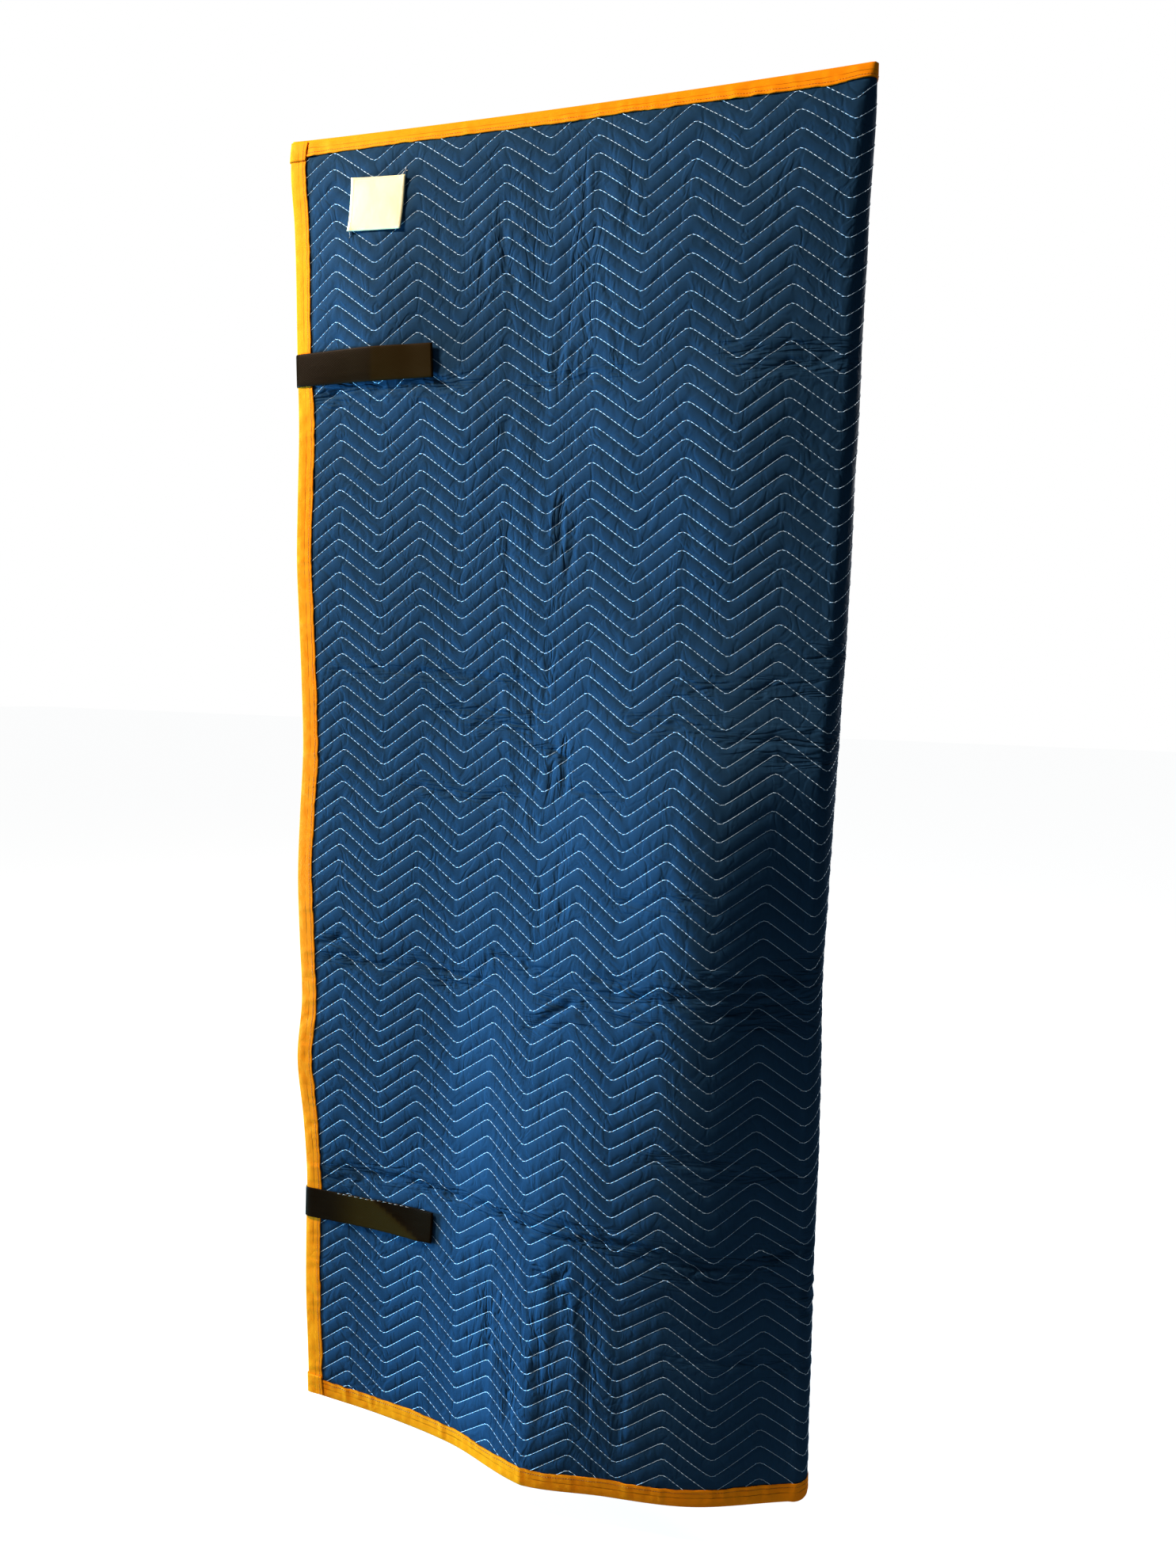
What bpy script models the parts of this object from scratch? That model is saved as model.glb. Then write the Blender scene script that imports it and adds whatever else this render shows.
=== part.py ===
"""A quilted door cover, hung and slack as in use. Metres, +Z up.

One padded quilt is folded round the free edge of a door, closed along its top, bound with
tape and held by two straps across its open side. The front faces -Y, the fold is at +X and
the open side is at -X. The origin is inside, under the closed top, in the middle of the
pocket: it is the line where the top edge of the door bears.
"""
import math
from collections import namedtuple

import bmesh
import bpy
import numpy as np

MM = 0.001
INCH = 0.0254

# Stitching: one zigzag line every inch down the cloth.
STITCH_PITCH = INCH
WAVE_LENGTH = 5.575 * INCH
WAVE_HEIGHT = 1.79 * INCH
FIRST_PEAK = 3.0 * INCH
FIRST_LINE = 1.97 * INCH
LINE_COUNT = 77

# Quilt: cut size, and its thickness at the stitches, in the puffs and under the tape.
CLOTH_WIDTH = 70.3 * INCH
FOLD_MIDDLE = 35.28 * INCH
STITCH_THICKNESS = 4.5 * MM
PUFF = 2.5 * MM
PRESSED_THICKNESS = 3.0 * MM

# How it hangs: the closed top stands above the door's top edge, and the stitched faces
# of the front and back lie this far from the middle of the pocket. The two layers all but
# meet at the top edge, and the back opens away from the front over the top of the door.
TOP_HEIGHT = 73.0 * MM
FRONT_FACE = 28.5 * MM
BACK_FACE = 28.5 * MM
SEAM_DEPTH = 2 * PRESSED_THICKNESS + 1.0 * MM
OPENING_HEIGHT = 78.0 * MM
FOLD_RADIUS = 22.0 * MM
SLIP = 25.0 * MM
SLIP_FROM, SLIP_TO = 1530.0 * MM, 1700.0 * MM
BACK_FOLD_DEPTH = 23.0 * MM
BACK_FOLD_COUNT = 2
BACK_FOLD_FROM, BACK_FOLD_TO = 800.0 * MM, 2030.0 * MM

# Cloth length that the slopes and crumples take up, from the top down.
UPPER_TAKE_UP, UPPER_TAKE_UP_TO = 5.0 * MM, 500.0 * MM
LOWER_TAKE_UP, BELLY_TAKE_UP = 4.0 * MM, 11.0 * MM
LOWER_TAKE_UP_FROM, LOWER_TAKE_UP_TO = 1050.0 * MM, 2000.0 * MM

# Tape, straps and label, and the space left between neighbouring pieces.
GAP = 0.45 * MM
TAPE_WIDTH = 27.0 * MM
TAPE_THICKNESS = 1.2 * MM
TAPE_ZONE = TAPE_WIDTH + 1.2 * MM
STRAP_WIDTH = 50.0 * MM
STRAP_THICKNESS = 2.0 * MM
STRAP_LIFT = PUFF + 1.2 * MM
STRAP_SEWN_LENGTH = 90.0 * MM
STRAP_CORNER = 1.0 * MM
LABEL_THICKNESS = 1.0 * MM
LABEL_LIFT = PUFF + 1.0 * MM

# The outer face's rows that the plain inner face and the side tapes share: the first and
# last few, and one every three stitch lines between them.
FIRST_ROWS = (0, 1, 3, 5, 7)
ROW_STEP = 6

# The front's hung shape in millimetres, one row a height. "down" is measured from the top
# edge, the columns edge to fold say how far the stitched face stands forward of the front
# face line at seven places, equally spaced from the free edge to the start of the fold,
# and the x columns place the free edge, the outside of the fold and the back's free edge.
Section = namedtuple("Section", "down edge_x edge near left middle right far fold fold_x back_x")
SECTIONS = (
    Section(0, -436, -6, -6, -6, -6, -6, -6, -6, 442, -436),
    Section(30, -435, 0, 2, 2, 1, 3, 3, 0, 442, -435),
    Section(130, -430, -3, 7, 5, 6, 11, 11, 3, 440, -432),
    Section(330, -425, -5, 10, 2, 2, 16, 17, 2, 438, -430),
    Section(435, -422, -5, -3, 2, 4, 18, 25, 5, 438, -430),
    Section(540, -423, -4, -4, -3, 6, 16, 23, 6, 437, -430),
    Section(640, -424, -4, -4, -4, 4, 14, 23, 8, 437, -430),
    Section(740, -419, -4, -4, -4, 6, 21, 26, 12, 436, -430),
    Section(840, -414, -4, -4, -3, 11, 34, 41, 22, 434, -428),
    Section(940, -411, -4, -3, 2, 17, 49, 66, 38, 432, -426),
    Section(1045, -416, -4, 0, 7, 24, 59, 79, 30, 430, -426),
    Section(1150, -418, -2, 2, 9, 29, 59, 82, 22, 427, -425),
    Section(1250, -414, -2, 2, 9, 39, 67, 84, 15, 426, -423),
    Section(1350, -410, -3, 5, 4, 50, 72, 74, 12, 429, -421),
    Section(1450, -416, 0, 5, 12, 60, 82, 72, 10, 431, -420),
    Section(1550, -406, -3, 5, 20, 70, 85, 69, 9, 432, -418),
    Section(1650, -399, -4, 3, 30, 67, 80, 66, 8, 432, -416),
    Section(1750, -400, -4, 12, 35, 62, 70, 56, 5, 433, -415),
    Section(1850, -399, -3, 17, 37, 67, 72, 56, 2, 434, -414),
    Section(1950, -394, -2, 15, 37, 72, 70, 54, 0, 436, -413),
    Section(2060, -390, -2, 15, 37, 72, 60, 49, 0, 437, -412),
)

# Creases across the front in millimetres: height, ends along the cloth, depth, half width.
Crease = namedtuple("Crease", "down start end depth half_width")
CREASES = (
    Crease(395, 20, 190, 2.0, 22),
    Crease(842, 280, 860, 2.0, 26),
    Crease(1272, 60, 860, 2.5, 24),
    Crease(1640, 40, 800, 2.5, 16),
)

# The hem in millimetres: cloth distance from the front's free edge, and cloth length there.
Hem = namedtuple("Hem", "across down")
HEM = (
    Hem(0, 2035), Hem(300, 2042), Hem(420, 2048), Hem(560, 2040), Hem(862, 2020),
    Hem(1100, 2024), Hem(1786, 2028),
)

# Straps in millimetres: height of the middle line, and length on the front.
Strap = namedtuple("Strap", "name down length")
STRAPS = (
    Strap("strap_upper", 349, 243),
    Strap("strap_lower", 1701, 245),
)

# Label in millimetres: the middle of the patch on the cloth, its sides and its tilt.
Patch = namedtuple("Patch", "across down width height tilt_deg")
LABEL = Patch(146, 110, 91, 78, 7.0)

# The grid from which places on the hung cloth are read, and the points along one level of it.
GRID_ACROSS, GRID_DOWN = 900, 420
SIDE_POINTS, TURN_POINTS = 121, 61

# Points along a strap's sewn end, the bridge over the open side and its front end, and
# along each side of the label.
SEWN_POINTS, BRIDGE_POINTS, FRONT_POINTS = 6, 3, 13
LABEL_POINTS = 5


def smooth_curve(knots, values, where):
    """Read a smooth curve through the given points, with no overshoot past its ends."""
    knots = np.asarray(knots, float)
    values = np.asarray(values, float)
    slopes = np.gradient(values, knots)
    where = np.clip(where, knots[0], knots[-1])
    index = np.clip(np.searchsorted(knots, where, side="right") - 1, 0, len(knots) - 2)
    span = knots[index + 1] - knots[index]
    t = (where - knots[index]) / span
    start = (1 + 2 * t) * (1 - t) ** 2 * values[index] + t * (1 - t) ** 2 * span * slopes[index]
    end = t * t * (3 - 2 * t) * values[index + 1] + t * t * (t - 1) * span * slopes[index + 1]
    return start + end


def ramp(value, low, high):
    """Rise smoothly from 0 at low to 1 at high."""
    t = np.clip((value - low) / (high - low), 0.0, 1.0)
    return t * t * (3 - 2 * t)


def section_at(down):
    """All columns of the section table at one height, in metres."""
    heights = [row.down * MM for row in SECTIONS]
    return Section(*(smooth_curve(heights, [row[i] * MM for row in SECTIONS], down)
                     for i in range(len(Section._fields))))


def front_y(section, part):
    """Y of the front's stitched face at a part (0 to 1) of the way from edge to fold."""
    places = np.linspace(0.0, 1.0, 7)
    forward = (section.edge, section.near, section.left, section.middle, section.right,
               section.far, section.fold)
    return -(FRONT_FACE + smooth_curve(places, forward, part))


def back_y(section, down, part):
    """Y of the back's stitched face at a part (0 to 1) of the way from fold to edge."""
    seam = front_y(section, 1.0 - part) + SEAM_DEPTH
    opened = np.sin(math.pi / 2 * np.clip(down / OPENING_HEIGHT, 0.0, 1.0))
    wave = 1.0 - np.cos(2 * math.pi * BACK_FOLD_COUNT * part)
    drape = BACK_FOLD_DEPTH * wave * ramp(down, BACK_FOLD_FROM, BACK_FOLD_TO)
    return seam + (BACK_FACE - seam) * opened + drape


def outline_at(down):
    """X and Y along the cloth at one height, at even cloth distances from edge to edge."""
    section = section_at(down)
    part = np.linspace(0.0, 1.0, SIDE_POINTS)
    turn = np.linspace(-math.pi / 2, math.pi / 2, TURN_POINTS)[1:]
    front = front_y(section, part)
    back = back_y(section, down, part)
    half_depth = (back[0] - front[-1]) / 2
    reach = min(FOLD_RADIUS, half_depth)
    fold_start = section.fold_x - reach
    x = np.concatenate((section.edge_x + part * (fold_start - section.edge_x),
                        fold_start + reach * np.cos(turn),
                        fold_start + part[1:] * (section.back_x - fold_start)))
    y = np.concatenate((front, front[-1] + half_depth * (1 + np.sin(turn)), back[1:]))
    length = np.concatenate(([0.0], np.cumsum(np.hypot(np.diff(x), np.diff(y)))))
    middle = len(part) - 1 + len(turn) // 2
    fold_at = FOLD_MIDDLE - SLIP * ramp(down, SLIP_FROM, SLIP_TO)
    rest = (length - length[middle]) / (length[-1] - length[middle])
    cloth = np.where(length <= length[middle], length / length[middle] * fold_at,
                     fold_at + rest * (CLOTH_WIDTH - fold_at))
    across = np.linspace(0.0, CLOTH_WIDTH, GRID_ACROSS)
    return np.interp(across, cloth, x), np.interp(across, cloth, y)


def crease_depth(across, down):
    """How far the creases press the front in at a place on the cloth."""
    total = np.zeros(np.broadcast(across, down).shape)
    for crease in CREASES:
        ends = ramp(across, crease.start * MM, (crease.start + 60) * MM)
        ends = ends * (1 - ramp(across, (crease.end - 60) * MM, crease.end * MM))
        shape = np.exp(-((down - crease.down * MM) / (crease.half_width * MM)) ** 2)
        total = total + crease.depth * MM * ends * shape
    return total


class HungCloth:
    """The stitched outer face of the hung quilt, read by cloth distance across and down."""

    def __init__(self):
        self.across = np.linspace(0.0, CLOTH_WIDTH, GRID_ACROSS)
        self.downs = np.linspace(0.0, SECTIONS[-1].down * MM, GRID_DOWN)
        outlines = [outline_at(down) for down in self.downs]
        x = np.array([outline[0] for outline in outlines])
        y = np.array([outline[1] for outline in outlines])
        z = np.repeat((TOP_HEIGHT - self.downs)[:, None], GRID_ACROSS, axis=1)
        places = np.stack((x, y, z), axis=-1)
        normals = self.normals_of(places)
        depth = crease_depth(self.across[None, :], self.downs[:, None])
        self.places = places - normals * depth[..., None]
        self.normals = normals

    @staticmethod
    def normals_of(places):
        """Unit normals that point out of the pocket."""
        along = np.gradient(places, axis=1)
        downward = np.gradient(places, axis=0)
        normals = np.cross(downward, along)
        return normals / np.linalg.norm(normals, axis=-1, keepdims=True)

    def take_up(self, across, down):
        """Cloth length lost to slopes and crumples above a place."""
        upper = UPPER_TAKE_UP * np.clip(down / UPPER_TAKE_UP_TO, 0.0, 1.0)
        belly = np.sin(math.pi * np.clip(across / FOLD_MIDDLE, 0.0, 1.0)) ** 2
        lower = ramp(down, LOWER_TAKE_UP_FROM, LOWER_TAKE_UP_TO)
        return upper + (LOWER_TAKE_UP + BELLY_TAKE_UP * belly) * lower

    def read(self, grid, across, down):
        """Bilinear reading of one grid at cloth distances across and down."""
        column = np.clip(across / CLOTH_WIDTH, 0.0, 1.0) * (GRID_ACROSS - 1)
        row = np.clip((down - self.take_up(across, down)) / self.downs[-1], 0.0, 1.0)
        row = row * (GRID_DOWN - 1)
        left = np.minimum(column.astype(int), GRID_ACROSS - 2)
        top = np.minimum(row.astype(int), GRID_DOWN - 2)
        u = (column - left)[..., None]
        v = (row - top)[..., None]
        upper = grid[top, left] * (1 - u) + grid[top, left + 1] * u
        lower = grid[top + 1, left] * (1 - u) + grid[top + 1, left + 1] * u
        return upper * (1 - v) + lower * v

    def place(self, across, down, lift=0.0):
        """A point above (or, with a negative lift, below) the stitched face."""
        across, down, lift = np.broadcast_arrays(*(np.asarray(v, float) for v in (across, down, lift)))
        normal = self.read(self.normals, across, down)
        normal = normal / np.linalg.norm(normal, axis=-1, keepdims=True)
        return self.read(self.places, across, down) + normal * lift[..., None]


def hem_down(across):
    """Cloth length from the top edge to the hem."""
    return smooth_curve([point.across * MM for point in HEM],
                        [point.down * MM for point in HEM], across)


def zigzag(across):
    """The stitch line's rise above its middle, from -1 in a valley to 1 on a peak."""
    phase = (across - FIRST_PEAK) / WAVE_LENGTH
    return 1.0 - 4.0 * np.abs(phase - np.round(phase))


def quilt_columns():
    """Cloth distances of the grid's columns: edges, peaks, valleys and the fold between."""
    half_wave = WAVE_LENGTH / 2
    front = [FIRST_PEAK + half_wave * i for i in range(12)]
    back = [front[-1] + half_wave * i for i in range(1, 13)]
    fold = [(front[-1] + FOLD_MIDDLE) / 2, FOLD_MIDDLE, (FOLD_MIDDLE + back[0]) / 2]
    return np.array([0.0, TAPE_ZONE] + front + fold + back + [CLOTH_WIDTH - TAPE_ZONE, CLOTH_WIDTH])


def quilt_rows(columns):
    """Cloth lengths and lifts of the outer face's rows, top to hem, one value a column."""
    hem = hem_down(columns)
    low = hem - TAPE_ZONE
    top = np.full(len(columns), TAPE_ZONE)
    wave = zigzag(columns)
    wave[[0, -1]] = wave[[1, -2]]
    lines = []
    for i in range(LINE_COUNT):
        middle = FIRST_LINE + i * STITCH_PITCH
        room = np.minimum(middle - top, low - middle)
        swing = np.clip(room / (2 * STITCH_PITCH), 0.0, 1.0)
        lines.append(middle - swing * WAVE_HEIGHT / 2 * wave)
    bounds = [top] + lines + [low]
    puff = np.full(len(columns), PUFF)
    puff[[0, 1, -2, -1]] = 0.0
    flat = np.zeros(len(columns))
    rows = [(flat, flat), (top, flat)]
    for upper, lower in zip(bounds, bounds[1:]):
        rows.append(((upper + lower) / 2, puff))
        rows.append((lower, flat))
    rows.append((hem, flat))
    return np.array([row[0] for row in rows]), np.array([row[1] for row in rows])


def shared_rows(count):
    """Indices of the outer rows that the inner face and the side tapes share."""
    body = range(FIRST_ROWS[-1] + ROW_STEP, count - ROW_STEP, ROW_STEP)
    return list(FIRST_ROWS) + list(body) + [count - 2, count - 1]


def flat_place(cloth, across, down, lift):
    """A place on the facets between columns, where a strap or a patch lies."""
    columns = quilt_columns()
    downs = quilt_rows(columns)[0]
    marks = shared_rows(len(downs))

    def on_column(index, low):
        if 1 < index < len(columns) - 2:
            return cloth.place(columns[index], low, lift)
        knots = downs[marks, index]
        run = cloth.place(columns[index], knots, lift)
        return np.array([np.interp(low, knots, run[:, axis]) for axis in range(3)])

    across, down = np.broadcast_arrays(np.asarray(across, float), np.asarray(down, float))
    points = np.empty(across.shape + (3,))
    for at in np.ndindex(across.shape):
        right = int(np.clip(np.searchsorted(columns, across[at]), 1, len(columns) - 1))
        part = (across[at] - columns[right - 1]) / (columns[right] - columns[right - 1])
        points[at] = on_column(right - 1, down[at]) * (1 - part) + on_column(right, down[at]) * part
    return points


def new_material(name, colour, roughness):
    """A plain cloth finish."""
    material = bpy.data.materials.new(name)
    material.use_nodes = True
    shader = material.node_tree.nodes["Principled BSDF"]
    shader.inputs["Base Color"].default_value = (*colour, 1.0)
    shader.inputs["Roughness"].default_value = roughness
    shader.inputs["Metallic"].default_value = 0.0
    material.diffuse_color = (*colour, 1.0)
    return material


def new_object(name, mesh, material, collection):
    """One named object in the cover's collection."""
    mesh.materials.append(material)
    thing = bpy.data.objects.new(name, mesh)
    collection.objects.link(thing)
    return thing


def add_grid(bm, points, rising_rows=(), rising_columns=()):
    """A grid primitive moved onto rows of points, top to bottom, its cells cut in two.

    A cell's cut falls from its upper left to its lower right corner, or rises where its
    row or column is listed, so that two layers that lie together are cut alike.
    """
    rows, columns = points.shape[:2]
    made = bmesh.ops.create_grid(bm, x_segments=columns - 1, y_segments=rows - 1, size=1.0)
    verts = made["verts"]
    for vert, point in zip(verts, points[::-1].reshape(-1, 3)):
        vert.co = point
    grid = [verts[i * columns:(i + 1) * columns] for i in range(rows)][::-1]
    for i in range(rows - 1):
        for j in range(columns - 1):
            ends = (grid[i][j], grid[i + 1][j + 1])
            if i in rising_rows or j in rising_columns:
                ends = (grid[i][j + 1], grid[i + 1][j])
            cell = next(iter(set(ends[0].link_faces) & set(ends[1].link_faces)))
            bmesh.utils.face_split(cell, *ends)
    return grid


def close_strip(bm, first, second):
    """Faces between two runs with the same number of points."""
    for i in range(len(first) - 1):
        bm.faces.new((first[i], first[i + 1], second[i + 1], second[i]))


def fan_strip(bm, coarse, fine, marks, falling):
    """Faces between a straight taped edge and the finer column beside it.

    Each stretch between two marks is two flat triangles, the finer one cut into a fan.
    """
    for k in range(len(coarse) - 1):
        upper, lower = coarse[k], coarse[k + 1]
        run = fine[marks[k]:marks[k + 1] + 1]
        tip = upper if falling else lower
        bm.faces.new((upper, lower, run[-1] if falling else run[0]))
        for a, b in zip(run, run[1:]):
            bm.faces.new((tip, a, b))


def make_quilt(cloth, material, collection):
    """The padded quilt: a stitched, puffed outer face and a plain inner one."""
    columns = quilt_columns()
    downs, lifts = quilt_rows(columns)
    marks = shared_rows(len(downs))
    outer = cloth.place(columns, downs, lifts)
    for side in (1, -2):
        knots = outer[marks, side]
        for axis in range(3):
            outer[:, side, axis] = np.interp(downs[:, side], downs[marks, side], knots[:, axis])
    depths = np.full((len(marks), len(columns)), STITCH_THICKNESS)
    depths[:, [0, 1, -2, -1]] = PRESSED_THICKNESS
    depths[[0, 1, -2, -1], :] = PRESSED_THICKNESS
    inner = cloth.place(columns, downs[marks], -depths)
    bm = bmesh.new()
    outside = add_grid(bm, outer[:, 1:-1])
    inside = add_grid(bm, inner)
    edges = [[bm.verts.new(point) for point in outer[marks, side]] for side in (0, -1)]
    fan_strip(bm, edges[0], [row[0] for row in outside], marks, True)
    fan_strip(bm, edges[1], [row[-1] for row in outside], marks, False)
    close_strip(bm, edges[0], [row[0] for row in inside])
    close_strip(bm, edges[1], [row[-1] for row in inside])
    for side in (0, -1):
        close_strip(bm, [edges[0][side]] + outside[side] + [edges[1][side]], inside[side])
    bmesh.ops.recalc_face_normals(bm, faces=bm.faces)
    mesh = bpy.data.meshes.new("quilt")
    bm.to_mesh(mesh)
    bm.free()
    return new_object("quilt", mesh, material, collection)


def make_strip(name, points, thickness, material, collection, **cuts):
    """A strip of cloth laid through rows of points and thickened outwards."""
    bm = bmesh.new()
    add_grid(bm, points, **cuts)
    mesh = bpy.data.meshes.new(name)
    bm.to_mesh(mesh)
    bm.free()
    strip = new_object(name, mesh, material, collection)
    solid = strip.modifiers.new("thickness", "SOLIDIFY")
    solid.thickness = thickness
    solid.offset = 1.0
    solid.use_even_offset = True
    return strip


def tape_profile():
    """Lift and setback from the edge of a tape's inner face: outer flap, edge, inner flap."""
    inner = -(PRESSED_THICKNESS + GAP)
    return ((GAP, TAPE_WIDTH), (GAP, -GAP), (inner, -GAP), (inner, TAPE_WIDTH))


def make_side_tape(name, cloth, back, material, collection):
    """Tape down one free side edge, from under the top tape to above the hem tape."""
    columns = quilt_columns()
    downs = quilt_rows(columns)[0]
    marks = shared_rows(len(downs))[1:-1]
    edge, sign = (CLOTH_WIDTH, -1.0) if back else (0.0, 1.0)
    downs = downs[marks, -1 if back else 0]
    lines = []
    for lift, setback in tape_profile():
        line = cloth.place(edge + sign * max(setback, 0.0), downs, lift)
        lines.append(line + np.array((min(setback, 0.0), 0.0, 0.0)))
    points = np.array(lines).transpose(1, 0, 2)
    if back:
        return make_strip(name, points, TAPE_THICKNESS, material, collection, rising_columns=(2,))
    points = points[:, ::-1]
    return make_strip(name, points, TAPE_THICKNESS, material, collection, rising_columns=(0,))


def make_hem_tape(cloth, material, collection):
    """Tape along the hem: front, round the fold and along the back."""
    across = quilt_columns()
    hem = hem_down(across)
    lines = []
    for lift, setback in tape_profile():
        line = cloth.place(across, hem - max(setback, 0.0), lift)
        lines.append(line + np.array((0.0, 0.0, min(setback, 0.0))))
    points = np.array(lines)
    return make_strip("tape_hem", points, TAPE_THICKNESS, material, collection, rising_rows=(2,))


def make_top_tape(cloth, material, collection):
    """Tape over the closed top: it takes in the upper edges of the front and the back."""
    columns = quilt_columns()
    count = len(columns) // 2
    front, back = columns[:count], columns[::-1][:count]
    rise = np.array((0.0, 0.0, GAP))
    past_fold = np.array((section_at(0.0).fold_x + GAP, 0.0, 0.0))
    reach = TAPE_WIDTH / TAPE_ZONE
    lines = []
    for across, part in ((back, reach), (back, 0.0), (front, 0.0), (front, reach)):
        upper = cloth.place(across, 0.0, GAP) + rise
        line = upper * (1 - part) + cloth.place(across, TAPE_ZONE, GAP) * part
        end = line[-1] * np.array((0.0, 1.0, 1.0)) + past_fold
        lines.append(np.concatenate((line, [end])))
    return make_strip("tape_top", np.array(lines), TAPE_THICKNESS, material, collection)


def strap_path(cloth, strap, height):
    """One long line of a strap: sewn end on the back, round the open side, free front end."""
    down = strap.down * MM + height
    sewn = np.linspace(CLOTH_WIDTH - STRAP_SEWN_LENGTH, CLOTH_WIDTH, SEWN_POINTS)
    front = np.linspace(0.0, strap.length * MM, FRONT_POINTS)
    on_back = flat_place(cloth, sewn, down, STRAP_LIFT)
    on_front = flat_place(cloth, front, down, STRAP_LIFT)
    side = TAPE_THICKNESS + 4 * GAP
    past = np.array((0.0, STRAP_LIFT + PRESSED_THICKNESS + TAPE_THICKNESS + GAP, 0.0))
    turn_back = on_back[-1] + np.array((-side, -STRAP_CORNER, 0.0))
    turn_front = on_front[0] + np.array((-side, STRAP_CORNER, 0.0))
    bridge = np.linspace(turn_back - past, turn_front + past, BRIDGE_POINTS)
    return np.concatenate((on_back, [turn_back], bridge, [turn_front], on_front))


def make_strap(cloth, strap, material, collection):
    """A webbing strap across the open side."""
    half = STRAP_WIDTH / 2
    lines = [strap_path(cloth, strap, height) for height in (-half, 0.0, half)]
    return make_strip(strap.name, np.array(lines), STRAP_THICKNESS, material, collection)


def make_label(cloth, material, collection):
    """The bare sewn patch near the top of the front."""
    tilt = math.radians(LABEL.tilt_deg)
    side = np.linspace(-0.5, 0.5, LABEL_POINTS) * LABEL.width * MM
    fall = np.linspace(-0.5, 0.5, LABEL_POINTS) * LABEL.height * MM
    u, v = np.meshgrid(side, fall)
    across = LABEL.across * MM + u * math.cos(tilt) - v * math.sin(tilt)
    down = LABEL.down * MM + v * math.cos(tilt) + u * math.sin(tilt)
    points = flat_place(cloth, across, down, LABEL_LIFT)
    return make_strip("label", points, LABEL_THICKNESS, material, collection)


def main():
    for thing in list(bpy.data.objects):
        bpy.data.objects.remove(thing, do_unlink=True)
    collection = bpy.data.collections.new("quilted_door_cover")
    bpy.context.scene.collection.children.link(collection)
    quilt_cloth = new_material("quilt_cloth", (0.016, 0.056, 0.130), 0.75)
    binding_tape = new_material("binding_tape", (0.90, 0.28, 0.012), 0.65)
    strap_webbing = new_material("strap_webbing", (0.022, 0.013, 0.007), 0.60)
    label_cloth = new_material("label_cloth", (0.80, 0.77, 0.70), 0.70)
    cloth = HungCloth()
    make_quilt(cloth, quilt_cloth, collection)
    make_side_tape("tape_front_side", cloth, False, binding_tape, collection)
    make_side_tape("tape_back_side", cloth, True, binding_tape, collection)
    make_hem_tape(cloth, binding_tape, collection)
    make_top_tape(cloth, binding_tape, collection)
    for strap in STRAPS:
        make_strap(cloth, strap, strap_webbing, collection)
    make_label(cloth, label_cloth, collection)


main()
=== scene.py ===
"""Looks of a quilted door cover: padded cloth, stitch lines, bindings, straps and a bare patch.

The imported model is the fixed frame. Lengths are in metres, and the tables in millimetres.
A place on the cloth is given by its distance across, from the front's free edge round the
fold to the back's free edge, and its distance down from the closed top edge.
"""
import functools
import math
from collections import namedtuple

import bmesh
import bpy
import numpy as np
from mathutils import Matrix, Vector


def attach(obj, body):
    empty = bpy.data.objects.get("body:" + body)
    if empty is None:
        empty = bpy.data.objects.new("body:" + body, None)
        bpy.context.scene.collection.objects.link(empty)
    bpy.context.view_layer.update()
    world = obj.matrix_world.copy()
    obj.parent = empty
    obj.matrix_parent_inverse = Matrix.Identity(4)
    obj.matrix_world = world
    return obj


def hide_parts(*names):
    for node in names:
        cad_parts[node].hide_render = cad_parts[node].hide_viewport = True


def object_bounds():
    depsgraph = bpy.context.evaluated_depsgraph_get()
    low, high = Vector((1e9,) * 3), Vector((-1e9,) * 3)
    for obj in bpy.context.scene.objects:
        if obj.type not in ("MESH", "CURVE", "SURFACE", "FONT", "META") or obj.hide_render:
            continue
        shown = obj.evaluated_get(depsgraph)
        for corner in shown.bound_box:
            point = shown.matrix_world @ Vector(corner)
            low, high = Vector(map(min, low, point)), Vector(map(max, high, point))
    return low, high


bl_info = {
    "name": "Quilted door cover",
    "version": (1, 0, 0),
    "blender": (4, 5, 0),
    "location": "3D View > Sidebar > Door cover",
    "description": "Dresses the door cover's packed model with cloth, stitching and bindings",
    "category": "Object",
}

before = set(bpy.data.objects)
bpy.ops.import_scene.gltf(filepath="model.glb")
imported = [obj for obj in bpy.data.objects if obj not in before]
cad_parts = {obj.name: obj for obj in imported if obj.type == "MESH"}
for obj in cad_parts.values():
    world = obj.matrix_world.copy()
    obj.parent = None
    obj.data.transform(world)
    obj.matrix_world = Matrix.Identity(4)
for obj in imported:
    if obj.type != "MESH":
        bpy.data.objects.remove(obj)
CAD_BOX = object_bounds()
BODY = "root"

MM = 0.001
INCH = 0.0254

# Stitching: one zigzag line every inch down the cloth.
STITCH_PITCH = INCH
WAVE_LENGTH = 5.575 * INCH
WAVE_HEIGHT = 1.79 * INCH
FIRST_PEAK = 3.0 * INCH
FIRST_LINE = 1.97 * INCH
FIRST_LINE_INDEX, LAST_LINE_INDEX = -3, 80

# Quilt: cut size, and its thickness at the stitches, in the puffs and under the tape.
CLOTH_WIDTH = 70.3 * INCH
FOLD_MIDDLE = 35.28 * INCH
STITCH_THICKNESS = 4.5 * MM
PRESSED_THICKNESS = 3.0 * MM

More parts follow.
